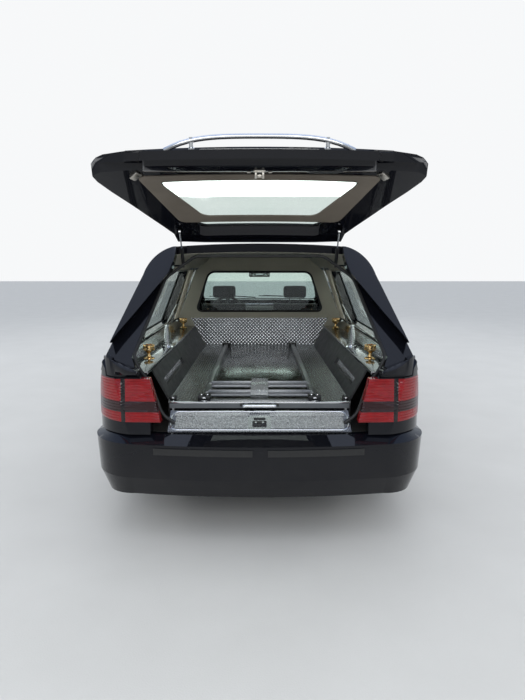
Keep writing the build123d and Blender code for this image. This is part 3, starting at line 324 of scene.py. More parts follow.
def bead(name, points, radius, material, body="root", closed=True, rounding=0.0, onto=None,
         aim=(-1, 0, 0), lift=0.0):
    """A round cord through points, its corners rounded, laid on a surface along aim."""
    bm = bmesh.new()
    corners = [bm.verts.new(point) for point in points]
    if closed:
        bm.faces.new(corners)
    else:
        for pair in zip(corners, corners[1:]):
            bm.edges.new(pair)
    if rounding:
        rounded(bm, corners if closed else corners[1:-1], rounding, 5, "VERTICES")
    if onto:
        step = 0.06
        long_edges = [edge for edge in bm.edges if edge.calc_length() > step * 1.5]
        if long_edges:
            longest = max(edge.calc_length() for edge in long_edges)
            bmesh.ops.subdivide_edges(bm, edges=long_edges, cuts=max(1, int(longest / step)))
    if closed:
        bmesh.ops.delete(bm, geom=bm.faces[:], context="FACES_ONLY")
    if onto:
        for vert in bm.verts:
            place = onto.ray_cast(vert.co, Vector(aim))[0] or onto.find_nearest(vert.co)[0]
            vert.co = place - Vector(aim).normalized() * lift
    made = placed(name, bm)
    for other in bpy.context.selected_objects:
        other.select_set(False)
    made.select_set(True)
    bpy.context.view_layer.objects.active = made
    bpy.ops.object.convert(target="CURVE")
    made.data.bevel_depth = radius
    made.data.bevel_resolution = 2
    made.data.use_fill_caps = True
    bpy.ops.object.convert(target="MESH")
    made.data.shade_smooth()
    return mounted(made, material, body)


def shrunk(points, by):
    """An outline drawn in by a share of its size."""
    middle = sum((Vector(point) for point in points), Vector()) / len(points)
    return [Vector(point).lerp(middle, by) for point in points]


BELT = 0.93
SIDE_WINDOWS = {
    "front_door": [(4.012, BELT + 0.014), (3.482, 1.340), (3.286, 1.346), (3.262, BELT + 0.014)],
    "rear_door": [(3.136, BELT + 0.014), (3.136, 1.348), (2.078, 1.352), (2.018, BELT + 0.014)],
    "quarter": [(1.888, 0.946), (1.946, 1.356), (0.812, 1.352), (0.45, 0.946)],
}
for side, sign in SIDES:
    for where, outline in SIDE_WINDOWS.items():
        corners = shrunk([spot(RAY_SIDE * sign, *corner) for corner in outline], 0.012)
        pane, body = f"{side}_{where}_window", f"{side}_{where}"
        if where == "quarter":
            pane, body = "quarter_windows", "root"
        bead(f"{side}_{where}_seal", corners, 0.0065, rubber, body, rounding=0.034,
             onto=surface(pane), aim=(-sign, 0, 0))
screen = [(-0.700, 0.978), (0.700, 0.978), (0.574, 1.425), (-0.574, 1.425)]
bead("windscreen_seal", shrunk([spot(x, RAY_FRONT, z) for x, z in screen], 0.01), 0.0075, rubber,
     rounding=0.05, onto=surface("windscreen"), aim=(0, -1, 0))
HINGE_STATION, HINGE_HEIGHT, GATE_TRAVEL = 0.76, 1.455, radians(73.6)
OPEN_OUTWARD = Vector((0, -cos(GATE_TRAVEL), sin(GATE_TRAVEL)))


def opened(station, height):
    """A point of the shut tailgate turned up about its hinge, where the tailgate rests."""
    back, rise = HINGE_STATION - station, height - HINGE_HEIGHT
    return (HINGE_STATION - (back * cos(GATE_TRAVEL) - rise * sin(GATE_TRAVEL)),
            HINGE_HEIGHT + back * sin(GATE_TRAVEL) + rise * cos(GATE_TRAVEL))


gate_window = [(-0.33, 1.40), (-0.44, 1.27), (-0.52, 1.01), (0.52, 1.01), (0.44, 1.27), (0.33, 1.40)]
bead("tailgate_window_seal", shrunk([spot(x, *opened(-0.3, z)) for x, z in gate_window], 0.012),
     0.007, rubber, "tailgate", rounding=0.045, onto=surface("tailgate_window"), aim=-OPEN_OUTWARD)

# The inner trim: beige cloth on moulded board under the roof and round the side windows, and dark
# vinyl cards on the doors, each clipped to the panel behind it.
beige_cloth = finish(
    "beige_headlining", "grey_board", (0.42, 0.40, 0.32), 0.85, Sheen_Weight=0.15,
    tones=(6, 4.0, (0.36, 0.34, 0.27), (0.47, 0.445, 0.36)), bumps=(1400, 2.0, 0.0004))
dark_vinyl = finish(
    "dark_vinyl", "black_plastic", (0.03, 0.031, 0.033), 0.55, shine=(60, 3.0, 0.3, 0.4))
shader, wire = inside(dark_vinyl)
pores = wire.node("TexVoronoi", Vector=wire.node("TexCoord", out="Object"), Scale=700.0)
relief(shader, pores, 0.0003)


def merged(node):
    """A copy of a CAD node's mesh with its loose triangles joined."""
    bm = bmesh.new()
    bm.from_mesh(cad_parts[node].data)
    bmesh.ops.remove_doubles(bm, verts=bm.verts, dist=MERGE)
    return bm


def slit(bm, place, normal, clear=False):
    """Cuts a mesh along a plane, and may clear what lies beyond it."""
    everything = bm.verts[:] + bm.edges[:] + bm.faces[:]
    bmesh.ops.bisect_plane(bm, geom=everything, plane_co=place, plane_no=normal, clear_outer=clear)


def doubled(bm):
    """Extrudes a sheet in place, and returns the vertices of its new side."""
    made = bmesh.ops.extrude_face_region(bm, geom=bm.faces[:], use_keep_orig=True)["geom"]
    return [item for item in made if isinstance(item, bmesh.types.BMVert)]


def thicken(bm, move):
    """Gives a sheet a second side, moved away from it, and closes the edges."""
    bmesh.ops.translate(bm, vec=move, verts=doubled(bm))
    bmesh.ops.recalc_face_normals(bm, faces=bm.faces)


def skin_of(node, keep, cuts=(), thick=0.003):
    """Part of a CAD node's surface, cut by planes, raised into a panel that lies on it."""
    bm = merged(node)
    for place, normal in cuts:
        slit(bm, place, normal, clear=True)
    bm.normal_update()
    spare = [face for face in bm.faces if not keep(face.calc_center_median(), face.normal)]
    bmesh.ops.delete(bm, geom=spare, context="FACES")
    tops = set(doubled(bm))
    bm.normal_update()
    for vert in tops:
        upper = [face.normal for face in vert.link_faces if all(v in tops for v in face.verts)]
        vert.co += sum(upper, Vector()).normalized() * thick
    bmesh.ops.recalc_face_normals(bm, faces=bm.faces)
    return bm


piece("headliner", skin_of("roof_panel", lambda place, normal: normal.z < -0.5), beige_cloth)
for side, sign in SIDES:
    trim = skin_of(f"{side}_side_panel", lambda place, normal: normal.x * sign < -0.25,
                   cuts=(((0, 0, 0.955), (0, 0, -1)),))
    piece(f"{side}_inner_trim", trim, beige_cloth)
    for door in ("front_door", "rear_door"):
        card = skin_of(f"{side}_{door}", lambda place, normal: normal.x * sign < -0.5)
        piece(f"{side}_{door}_card", card, dark_vinyl, f"{side}_{door}")

# The tailgate: a pressed frame about its glass, narrower above the belt than the body. The rear
# pillars' outer skins stay on the body, a shut line away from it.
GATE_EDGE = [
    (0.60, 0.40), (0.60, 0.880), (0.785, 0.945), (0.785, 0.968), (0.729, 1.05), (0.655, 1.145),
    (0.584, 1.242), (0.530, 1.314), (0.486, 1.375), (0.476, 1.448), (0.474, 1.62),
]
SHUT_LINE = 0.005
GATE_CROWN = 0.25
BELT_STATION = 0.125
LEAN_RISE, LEAN_RUN = 0.7355, 0.6775
GATE_INWARD = Vector((0, LEAN_RISE, -LEAN_RUN))
hinge = Matrix.Translation(spot(0, HINGE_STATION, HINGE_HEIGHT))
shut_turn = hinge @ Matrix.Rotation(GATE_TRAVEL, 4, "X") @ hinge.inverted()
shut_gate = merged("tailgate")
bmesh.ops.transform(shut_gate, matrix=shut_turn, verts=shut_gate.verts)


def trimmed_gate(wider, operation):
    """The shut tailgate inside or outside of its edge line."""
    edge = [(x + wider, z) for x, z in GATE_EDGE]
    cutter = bmesh.new()
    cutter.faces.new([cutter.verts.new(spot(x, -0.5, z))
                      for x, z in edge + [(-x, z) for x, z in reversed(edge)]])
    thicken(cutter, (0, 2.2, 0))
    whole, blade = placed("trim", shut_gate.copy()), placed("trim", cutter)
    trim = whole.modifiers.new("trim", "BOOLEAN")
    trim.operation, trim.object, trim.solver = operation, blade, "EXACT"
    result = bmesh.new()
    result.from_object(whole, bpy.context.evaluated_depsgraph_get())
    for scratch in (whole, blade):
        bpy.data.meshes.remove(scratch.data)
    return result


def bow(x):
    """How far forward of the middle line the tail lies at x."""
    return 0.045 * (x / 1.1) ** 2


def tail_line(height):
    """The station of the body's rear edge at a height, on the middle line."""
    if height < BELT:
        return 0.090 + (height - 0.590) * 0.103
    return BELT_STATION + (height - BELT) * 0.9212


gate_shell = trimmed_gate(0, "INTERSECT")
for vert in gate_shell.verts:
    if 0.60 < vert.co.z < 0.925:
        line = spot(0, tail_line(vert.co.z) + bow(vert.co.x), 0).y
        if vert.co.y < line:
            vert.co.y = line + (vert.co.y - line) * GATE_CROWN
bmesh.ops.transform(gate_shell, matrix=shut_turn.inverted(), verts=gate_shell.verts)
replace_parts(piece("tailgate_panel", gate_shell, black_paint, "tailgate", crease=24), "tailgate")
pillars = trimmed_gate(SHUT_LINE, "DIFFERENCE")
shut_gate.free()
belt_point = spot(0, BELT_STATION, BELT)
for vert in pillars.verts:
    depth = (Vector((0, vert.co.y, vert.co.z)) - belt_point).dot(GATE_INWARD) - bow(vert.co.x)
    if depth > 0.02:
        vert.co += GATE_INWARD * 0.0065
piece("rear_pillar_skins", pillars, black_paint, crease=30)


def inner_gate(x, along, lift=0.0):
    """A point on the open tailgate's inner face: across, up from the belt, and out of the face."""
    depth = 0.052 + bow(x) + lift
    return spot(x, *opened(BELT_STATION + LEAN_RUN * along + LEAN_RISE * depth,
                           BELT + LEAN_RISE * along - LEAN_RUN * depth))


# The tailgate's inside: a black moulded box over the lock, narrower at its foot, and a surround
# about the glass with its own smaller opening, clipped on, its beige cloth darkened to brown: painted
# shade.
LOCK_BOX = [(0.12, 0.64), (0.165, 0.66), (0.190, 0.70), (0.222, 0.90), (0.205, 0.95), (0.15, 0.935)]
LOCK_BOX_TAPER = {0.64: 0.88, 0.66: 0.89, 0.70: 0.915}
lock_box = bmesh.new()
lock_box.faces.new([lock_box.verts.new(spot(-0.545, *opened(*corner))) for corner in LOCK_BOX])
thicken(lock_box, (1.09, 0, 0))
for vert in lock_box.verts:
    vert.co.x *= LOCK_BOX_TAPER.get(round((shut_turn @ vert.co).z, 2), 1.0)
rounded(lock_box, lock_box.edges[:], 0.010)
piece("tailgate_lock_box", lock_box, black_paint, "tailgate", "black_plastic")
# The surround's finish is the beige cloth darkened to brown: painted shade.
shaded_beige_trim = finish(
    "shaded_beige_trim", "grey_board", (0.20, 0.17, 0.135), 0.6, bumps=(1300, 2.0, 0.0003),
    tones=(9, 4.0, (0.13, 0.11, 0.085), (0.21, 0.18, 0.145)))
SURROUND_THICK = 0.006
surround = bmesh.new()
for outline in (
        ((-0.585, 0.105), (0.585, 0.105), (0.43, 0.53), (-0.43, 0.53)),
        ((-0.490, 0.150), (0.490, 0.150), (0.30, 0.47), (-0.30, 0.47))):
    loop = surround.faces.new([surround.verts.new((x, along, 0)) for x, along in outline])
    rounded(surround, list(loop.verts), 0.035, affect="VERTICES")
bmesh.ops.delete(surround, geom=surround.faces[:], context="FACES_ONLY")
bmesh.ops.bridge_loops(surround, edges=surround.edges[:])
bmesh.ops.subdivide_edges(surround, edges=surround.edges[:], cuts=4, use_grid_fill=True)
for vert in doubled(surround):
    vert.co.z = SURROUND_THICK
for vert in surround.verts:
    vert.co = inner_gate(*vert.co)
bmesh.ops.recalc_face_normals(surround, faces=surround.faces)
piece("tailgate_surround", surround, shaded_beige_trim, "tailgate")

# The tail lamps: moulded red lenses that wrap round the corners, ribbed across, with a smoked band
# and a black bar down each.
LAMP_FOOT = 0.618
RIB_PITCH, RIB_WIDTH = 0.0145, 0.0095
SMOKED_BAND = (0.668, 0.722)
LAMP_BAR_X = (0.672, 0.694)
red_lens = finish(
    "red_lens", "red_lens", (0.42, 0.008, 0.012), 0.14, Coat_Weight=0.35, Coat_Roughness=0.06,
    Specular_IOR_Level=0.35)
shader, wire = inside(red_lens)
x, _, z = parts_of(wire)
across = x.math("ABSOLUTE", x)
smoked = (z > SMOKED_BAND[0]) * (z < SMOKED_BAND[1])
bar = (across > LAMP_BAR_X[0]) * (across < LAMP_BAR_X[1])
dark = smoked.math("MAXIMUM", smoked * 0.93, bar)
cloudy = grain(wire, 240, 2.0)
deep = blend(cloudy * 0.4 + grain(wire, 30, 3.0) * 0.6, (0.10, 0.0015, 0.003), (0.36, 0.006, 0.009))
feed(shader, "Base Color", blend(dark, deep, (0.008, 0.006, 0.007)))
relief(shader, cloudy, 0.0003)
lenses = merged("tail_lamps")
ribs = [LAMP_FOOT + 0.006 + RIB_PITCH * number for number in range(15)]
for rib in ribs:
    for edge in (rib, rib + RIB_WIDTH):
        slit(lenses, (0, 0, edge), (0, 0, 1))
for edge in LAMP_BAR_X:
    for sign in (1, -1):
        slit(lenses, (sign * edge, 0, 0), (1, 0, 0))
lenses.normal_update()
proud = []
for face in lenses.faces:
    place = face.calc_center_median()
    outward = face.normal.y < -0.35 or face.normal.x * place.x > 0.55
    on_rib = any(rib < place.z < rib + RIB_WIDTH for rib in ribs)
    off_bar = not LAMP_BAR_X[0] < abs(place.x) < LAMP_BAR_X[1]
    if outward and on_rib and off_bar and place.y < -2.25:
        proud.append(face)
bmesh.ops.inset_region(lenses, faces=proud, thickness=0.0012, depth=0.0022, use_even_offset=True)
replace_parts(piece("tail_lamp_lenses", lenses, red_lens, crease=25), "tail_lamps")

# Rubbing strips: black rubber, stuck along the rear bumper, the sides, the wings and the doors where
# another car's door would touch them, and cut short where a door swings past the next.
DOOR_TRIM = {"rear_door": 0.040, "front_door": 0.015}


def band(low, high):
    """The cuts that leave a level band of a panel."""
    return ((0, 0, low), (0, 0, -1)), ((0, 0, high), (0, 0, 1))


for name, low, high in (("left", -0.522, -0.034), ("right", 0.041, 0.515)):
    ends = ((low, 0, 0), (-1, 0, 0)), ((high, 0, 0), (1, 0, 0))
    piece(f"rear_bumper_strip_{name}", skin_of(
        "rear_bumper", lambda place, normal: normal.y < -0.6 and place.y < -2.5,
        band(0.472, 0.506) + ends, 0.005), rubber)
for side, sign in SIDES:
    for part in ("front_door", "rear_door", "side_panel", "front_wing"):
        low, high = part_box(f"{side}_{part}")
        cuts = band(0.455, 0.525)
        if part == "rear_door":
            cuts += (((0, high.y - DOOR_TRIM[part], 0), (0, 1, 0)),)
        if part == "front_door":
            cuts += (((0, low.y + DOOR_TRIM[part], 0), (0, -1, 0)),)
        piece(f"{side}_{part}_strip", skin_of(
            f"{side}_{part}", lambda place, normal: normal.x * sign > 0.8 and abs(place.x) > 0.83,
            cuts, 0.007), rubber, f"{side}_{part}" if part in DOOR_TRIM else "root")

# The loading bay: a dark polished deck plate between two rails, embossed strips beside them, dark
# panels leaning up to polished ledges, and an embossed bulkhead plate.
polished_steel = finish(
    "polished_steel", "stainless", (0.56, 0.57, 0.58), 0.1, 1.0,
    tones=(4, 4.0, (0.40, 0.41, 0.42), (0.60, 0.61, 0.62)),
    shine=(12, 6.0, 0.34, 0.06, 2.0, (1, 0.25, 1)))
brushed_steel = finish(
    "brushed_steel", "stainless", (0.42, 0.43, 0.44), 0.28, 1.0,
    shine=(40, 4.0, 0.3, 0.16, 1, (1, 18, 18)))
shader, wire = inside(brushed_steel)
streaks = grain(wire, 30, 5.0, (1, 14, 14))
feed(shader, "Base Color", blend(streaks, (0.32, 0.33, 0.34), (0.55, 0.56, 0.57)))
EMBOSS_PITCH, EMBOSS_CELL = 0.031, 0.004
embossed_steel = finish(
    "embossed_steel", "stainless", (0.42, 0.43, 0.44), 0.16, 1.0, shine=(40, 4.0, 0.14, 0.12))
shader, wire = inside(embossed_steel)
x, y, z = parts_of(wire)
turns = 2 * pi / EMBOSS_PITCH
rows = x.math("SINE", x * turns) * x.math("COSINE", (y + z) * turns)
pillow = rows.math("MAXIMUM", rows, 0.0) ** 0.6
# Lighter on the pillows and darker on the flat between them, with a little noise.
pillow_tone = pillow * 0.8 + grain(wire, 11, 5.0) * 0.25
feed(shader, "Base Color", blend(pillow_tone, (0.17, 0.175, 0.18), (0.66, 0.68, 0.70)))
dark_mirror = finish(
    "dark_polished_steel", "stainless", (0.30, 0.31, 0.32), 0.07, 1.0,
    tones=(5, 5.0, (0.14, 0.145, 0.15), (0.27, 0.28, 0.285)),
    shine=(14, 6.0, 0.25, 0.13, 2.0, (1, 0.3, 1)))
dress(brushed_steel, "coffin_deck")
dress(finish(
    "dark_grey_board", None, (0.022, 0.023, 0.024), 0.42, shine=(18, 4.0, 0.25, 0.3),
    tones=(8, 4.0, (0.014, 0.015, 0.016), (0.036, 0.037, 0.039)),
    bumps=(800, 2.0, 0.00015)), "side_trays")
dress(beige_cloth, "partition_wall")
DECK, DECK_FROM, DECK_TO = 0.68, 0.285, 2.347
LEDGE, LEDGE_FROM, LEDGE_TO = 0.852, 0.215, 2.3468
RISER_TOP = 0.905
RAIL_GAUGE = 0.295


def newer(bm, before):
    return [vert for vert in bm.verts if vert not in before]


def brick(bm, low, high, rounding=0.0015, segments=2, matrix=None):
    """A block between two corners, its edges rounded over, that a matrix may move."""
    before = set(bm.verts) if matrix else ()
    low, high = Vector(low), Vector(high)
    sized = Matrix.LocRotScale((low + high) / 2, None, high - low)
    verts = bmesh.ops.create_cube(bm, size=1.0, matrix=sized)["verts"]
    rounded(bm, list({edge for vert in verts for edge in vert.link_edges}), rounding, segments)
    if matrix:
        bmesh.ops.transform(bm, matrix=matrix, verts=newer(bm, before))


def bricks(name, material, *blocks):
    """A piece made only of blocks."""
    bm = bmesh.new()
    for block in blocks:
        brick(bm, *block)
    return piece(name, bm, material)


def turned(bm, profile, centre=(0, 0, 0), axis=(0, 0, 1), steps=28):
    """A profile of (radius, height) points turned about an axis through centre."""
    before = set(bm.verts)
    line = [bm.verts.new((radius, 0, rise)) for radius, rise in profile]
    edges = [bm.edges.new(pair) for pair in zip(line, line[1:])]
    bmesh.ops.spin(bm, geom=line + edges, cent=(0, 0, 0), axis=(0, 0, 1), dvec=(0, 0, 0), angle=2 * pi,
                   steps=steps, use_merge=True, use_duplicate=False)
    bmesh.ops.remove_doubles(bm, verts=newer(bm, before), dist=MERGE)
    made = newer(bm, before)
    bmesh.ops.recalc_face_normals(bm, faces=list({face for vert in made for face in vert.link_faces}))
    turn = Vector((0, 0, 1)).rotation_difference(Vector(axis)).to_matrix().to_4x4()
    bmesh.ops.transform(bm, matrix=Matrix.Translation(Vector(centre)) @ turn, verts=made)
    return made


def embossed(name, low, up, across, lift=0.0028, cuts=()):
    """A plate of raised pillows in staggered rows, from a low corner over two directions."""
    up, across = Vector(up), Vector(across)
    bm = bmesh.new()
    bmesh.ops.create_grid(bm, x_segments=int(across.length / EMBOSS_CELL),
                          y_segments=int(up.length / EMBOSS_CELL), size=0.5)
    outward = across.cross(up).normalized()
    for vert in bm.verts:
        flat = Vector(low) + across * (vert.co.x + 0.5) + up * (vert.co.y + 0.5)
        rise = sin(2 * pi * flat.x / EMBOSS_PITCH) * cos(2 * pi * (flat.y + flat.z) / EMBOSS_PITCH)
        vert.co = flat + outward * (max(0.0, rise) ** 0.7 * lift)
    for place, normal in cuts:
        slit(bm, place, normal, clear=True)
    return piece(name, bm, embossed_steel, crease=60)


def on_deck(x, station, rise):
    return spot(x, station, DECK + rise)


bricks("deck_plate", dark_mirror,
       (on_deck(-0.279, DECK_FROM + 0.012, 0), on_deck(0.279, DECK_TO - 0.002, 0.0015), 0.0006))
plates, risers, backings = bmesh.new(), bmesh.new(), bmesh.new()
for side, sign in SIDES:
    inner_x, outer_x = sorted((sign * 0.5795, sign * 0.7055))
    brick(plates, spot(inner_x, LEDGE_FROM, 0.85), spot(outer_x, LEDGE_TO, LEDGE), 0.0008)
    inner_x, outer_x = sorted((sign * 0.574, sign * 0.5815))
    brick(plates, spot(inner_x, LEDGE_FROM, 0.838), spot(outer_x, LEDGE_TO, 0.8545), 0.003, 3)
    wall = surface(f"{side}_side_panel")
    rows = []
    for number in range(28):
        station = LEDGE_FROM + (LEDGE_TO - LEDGE_FROM) * number / 27
        hit = wall.ray_cast(spot(sign * 0.5, station, RISER_TOP), Vector((sign, 0, 0)))[0]
        reach = min(abs(hit.x), 0.80) - 0.003 if hit else 0.74
        rows.append((risers.verts.new(spot(sign * 0.7050, station, 0.8522)),
                     risers.verts.new(spot(sign * reach, station, RISER_TOP))))
    for one, other in zip(rows, rows[1:]):
        risers.faces.new((one[0], other[0], other[1], one[1]))
    slot_edge = [(0.507, 0.715), (0.542, 0.780)]
    backings.faces.new([backings.verts.new(spot(sign * (px + 0.0084), station, pz - 0.0045))
                        for station, (px, pz) in zip((0.455, 0.455, 1.175, 1.175),
                                                     slot_edge + slot_edge[::-1])])
piece("polished_plates", plates, polished_steel)
for name, bm in (("ledge_risers", risers), ("slot_backings", backings)):
    bmesh.ops.recalc_face_normals(bm, faces=bm.faces)
    thicken(bm, (0, 0, 0.0015))
    piece(name, bm, polished_steel)
for side, low_x in (("right", 0.312), ("left", -0.482)):
    embossed(f"embossed_strip_{side}", on_deck(low_x, DECK_FROM + 0.004, 0.0006),
             (0, DECK_TO - DECK_FROM - 0.008, 0), (0.17, 0, 0))
slope = Vector((0.174, 0, -0.094)).normalized()
embossed("embossed_bulkhead", on_deck(-0.62, DECK_TO + 0.0045, -0.004), (0, 0, 0.247), (1.24, 0, 0),
         0.0035, ((spot(0.4845, 0, 0.676), slope), (spot(-0.4845, 0, 0.676), (-slope.x, 0, slope.z))))

# The rails and their fittings: steel channels with black end blocks, bright bolts, two cross bars
# that stop the coffin, and a clear acrylic pad clipped over them.
satin_black = finish(
    "satin_black_plastic", "black_plastic", (0.016, 0.016, 0.017), 0.42, shine=(25, 3.0, 0.22, 0.3),
    bumps=(1300, 2.0, 0.00015))
black_moulding = finish(
    "black_moulding", "black_plastic", (0.012, 0.012, 0.012), 0.38, shine=(30, 3.0, 0.2, 0.3),
    bumps=(900, 2.0, 0.0002))
chrome = finish(
    "chrome", "chrome", (0.72, 0.73, 0.74), 0.06, 1.0, shine=(22, 4.0, 0.3, 0.03, 3.0),
    tones=(9, 3.0, (0.62, 0.63, 0.64), (0.78, 0.79, 0.80)))
clear_acrylic = finish(
    "clear_acrylic", "clear_lens", (0.92, 0.95, 0.96), 0.08, shine=(60, 4.0, 0.5, 0.05, 2.0),
    Transmission_Weight=0.75, IOR=1.49)


def domed(radius, crown, rise):
    """A bolt head's profile: its radius, the radius of its crown, and its height."""
    return [(0, rise), (crown, rise * 0.9), (radius, 0), (radius, -0.002)]


blocks, bolts, bars = bmesh.new(), bmesh.new(), bmesh.new()
for sign in (1, -1):
    rail = sign * RAIL_GAUGE
    for start in (DECK_FROM + 0.014, DECK_TO - 0.076):
        brick(blocks, on_deck(rail - 0.034, start - 0.003, 0.0005),
              on_deck(rail + 0.034, start + 0.049, 0.0275), 0.004, 3)
        for shift in (-0.016, 0.016):
            turned(bolts, domed(0.0075, 0.006, 0.004), on_deck(rail + shift, start + 0.023, 0.0272),
                   steps=14)
    turned(bolts, domed(0.011, 0.009, 0.005), on_deck(rail, DECK_FROM + 0.0115, 0.0125), (0, -1, 0), 16)
    inner_x, outer_x = sorted((sign * 0.444, sign * 0.478))
    brick(blocks, on_deck(inner_x, DECK_FROM + 0.012, 0.002),
          on_deck(outer_x, DECK_FROM + 0.05, 0.022), 0.003)
    turned(bolts, domed(0.010, 0.008, 0.005), on_deck(sign * 0.461, DECK_FROM + 0.0125, 0.012),
           (0, -1, 0), 16)
    for edge in (rail - 0.0125, rail + 0.0125):
        brick(bars, on_deck(edge - 0.002, DECK_FROM + 0.064, 0.0135),
              on_deck(edge + 0.002, DECK_TO - 0.08, 0.0185), 0.0008)
for start in (0.435, 0.665):
    brick(bars, on_deck(-0.292, start - 0.002, 0.0155), on_deck(0.292, start + 0.036, 0.0185), 0.001)
    brick(bars, on_deck(-0.285, start + 0.001, 0.0175), on_deck(0.285, start + 0.007, 0.027), 0.002)
brick(bars, on_deck(-0.262, DECK_FROM + 0.002, 0.001), on_deck(0.262, DECK_FROM + 0.034, 0.006), 0.0015)
piece("rail_end_blocks", blocks, black_moulding)
piece("rail_bolts", bolts, chrome)
piece("rail_lips_and_bars", bars, brushed_steel)
bricks("acrylic_pad", clear_acrylic,
       (on_deck(-0.049, 0.41, 0.0285), on_deck(0.049, 0.72, 0.0345), 0.002),
       (on_deck(-0.049, 0.405, 0.006), on_deck(0.049, 0.411, 0.0345), 0.002))

# The drawer under the deck: a steel tray on runners with a grey painted front, a bright bar handle
# and a small black lock.
dress(finish(
    "grey_enamel", None, (0.16, 0.17, 0.18), 0.3, 0.35, Coat_Weight=0.3,
    tones=(10, 4.0, (0.060, 0.067, 0.075), (0.115, 0.125, 0.135)),
    shine=(35, 4.0, 0.2, 0.22, 1, (1, 8, 8))), "drawer")
handle, lock = bmesh.new(), bmesh.new()
turned(handle, [(0, -0.088), (0.0078, -0.087), (0.0088, -0.084), (0.0088, 0.084), (0.0078, 0.087),
                (0, 0.088)], spot(0, 0.214, 0.6735), (1, 0, 0), steps=24)
brick(handle, spot(-0.468, 0.2385, 0.6805), spot(0.468, 0.263, 0.6895), 0.0015)
piece("drawer_handle", handle, chrome, "drawer")
brick(lock, spot(-0.055, 0.226, 0.657), spot(-0.028, 0.2405, 0.6675), 0.003, 3)
for shift in (-0.094, 0.094):
    brick(lock, spot(shift - 0.008, 0.2385, 0.664), spot(shift + 0.008, 0.2405, 0.683), 0.0008)
piece("drawer_lock", lock, black_moulding, "drawer")

# The sill: a sloping step plate with a bright frame, two fields of clear ribbed plastic over a
# silvered base, and the black striker that the tailgate's latch closes on.
SILL_FOOT, SILL_CREST = spot(0, 0.112, 0.568), spot(0, 0.228, 0.646)
SILL_RIBS, SILL_RIB_PITCH = 74, 0.005
dress(finish(
    "silvered_base", None, (0.62, 0.63, 0.64), 0.22, 0.9, shine=(90, 3.0, 0.3, 0.1),
    tones=(16, 4.0, (0.20, 0.21, 0.22), (0.50, 0.51, 0.52))), "sill_panel")
climb = (SILL_CREST - SILL_FOOT).normalized()
sill_frame = Matrix((
    (1, 0, 0, 0),
    (0, climb.y, -climb.z, SILL_FOOT.y),
    (0, climb.z, climb.y, SILL_FOOT.z),
    (0, 0, 0, 1),
))


def on_sill(name, bm, material, crease=32):
    """A piece modelled flat, x across and y up the slope, and laid on the sill."""
    bmesh.ops.transform(bm, matrix=sill_frame, verts=bm.verts)
    piece(name, bm, material, crease=crease)


sill_outline = [(-0.452, 0.010), (0.452, 0.010), (0.452, 0.130), (-0.452, 0.130)]
bead("sill_frame_bead", [sill_frame @ Vector((px, up, 0.001)) for px, up in sill_outline], 0.0045,
     chrome, rounding=0.035)
fields, striker, dots = bmesh.new(), bmesh.new(), bmesh.new()
for sign in (1, -1):
    for number in range(SILL_RIBS):
        middle = (sign * (0.062 + SILL_RIB_PITCH * number), 0.058, 0.002)
        sized = Matrix.LocRotScale(middle, None, (0.0034, 0.076, 0.0042))
        bmesh.ops.create_cube(fields, size=1.0, matrix=sized @ Matrix.Rotation(pi / 4, 4, "Y"))
    low, high = sorted((sign * 0.052, sign * 0.438))
    brick(fields, (low, 0.100, 0.0), (high, 0.122, 0.004), 0.0018)
on_sill("sill_ribs", fields, clear_acrylic, 20)
brick(striker, (-0.036, 0.034, 0.0), (0.036, 0.064, 0.009), 0.004, 3)
brick(striker, (-0.03, 0.076, 0.0), (0.03, 0.088, 0.005), 0.002, 3)
on_sill("sill_striker", striker, black_moulding)
for shift in (-0.018, 0.018):
    turned(dots, [(0, 0.0045), (0.005, 0.0035), (0.0062, 0.0)], (shift, 0.049, 0.0085), steps=16)
on_sill("striker_screws", dots, chrome)

# On the ledges: turned brass lamps with upright bars, a ribbed chrome column between them, a black
# knob at the rear, and a double bright rail along the foot of each window.
brass = finish(
    "brass", "brass", (0.78, 0.52, 0.22), 0.18, 1.0, shine=(60, 4.0, 0.25, 0.1),
    tones=(30, 4.0, (0.60, 0.38, 0.15), (0.85, 0.62, 0.30)))
LAMPS = ((0.648, 0.62), (0.662, 2.18))
LAMP_PROFILE = [
    (0, 0), (0.033, 0), (0.034, 0.003), (0.033, 0.006), (0.024, 0.009), (0.014, 0.013),
    (0.011, 0.02), (0.010, 0.034), (0.014, 0.039), (0.022, 0.043), (0.029, 0.05), (0.032, 0.06),
    (0.0325, 0.072), (0.030, 0.08), (0.027, 0.083), (0.024, 0.083), (0.026, 0.07), (0.022, 0.055),
    (0, 0.05),
]
LAMP_BARS, LAMP_BAR_RING = 6, 0.0315
COLUMN = (0.614, 1.07)
COLUMN_RIBS = 9
KNOB_PROFILE = [(0, 0), (0.017, 0), (0.017, 0.004), (0.008, 0.008), (0.007, 0.02), (0.015, 0.024),
                (0.0165, 0.03), (0.013, 0.036), (0, 0.038)]
column_profile = [(0, 0), (0.039, 0), (0.04, 0.004), (0.037, 0.012), (0.028, 0.018)]
for number in range(COLUMN_RIBS):
    foot = 0.022 + 0.0125 * number
    wide = 0.031 - 0.017 * (number / COLUMN_RIBS)
    column_profile += [(wide, foot), (wide + 0.0012, foot + 0.003), (wide - 0.001, foot + 0.007),
                       (wide - 0.006, foot + 0.009)]
column_profile += [(0.013, 0.136), (0.018, 0.14), (0.0175, 0.146), (0.012, 0.149), (0, 0.15)]
lamps, columns, knobs = bmesh.new(), bmesh.new(), bmesh.new()
for sign in (1, -1):
    for px, station in LAMPS:
        turned(lamps, LAMP_PROFILE, spot(sign * px, station, LEDGE))
        for number in range(LAMP_BARS):
            angle = number * 2 * pi / LAMP_BARS
            foot = spot(sign * px, station, LEDGE) + Vector((cos(angle), sin(angle), 0)) * LAMP_BAR_RING
            brick(lamps, foot + Vector((-0.002, -0.002, 0.05)),
                  foot + Vector((0.002, 0.002, 0.086)), 0.001)
    turned(columns, column_profile, spot(sign * COLUMN[0], COLUMN[1], LEDGE), steps=32)
    turned(knobs, KNOB_PROFILE, spot(sign * 0.640, 0.290, LEDGE), steps=22)
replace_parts(piece("ledge_lamps", lamps, brass), "tray_lamps")
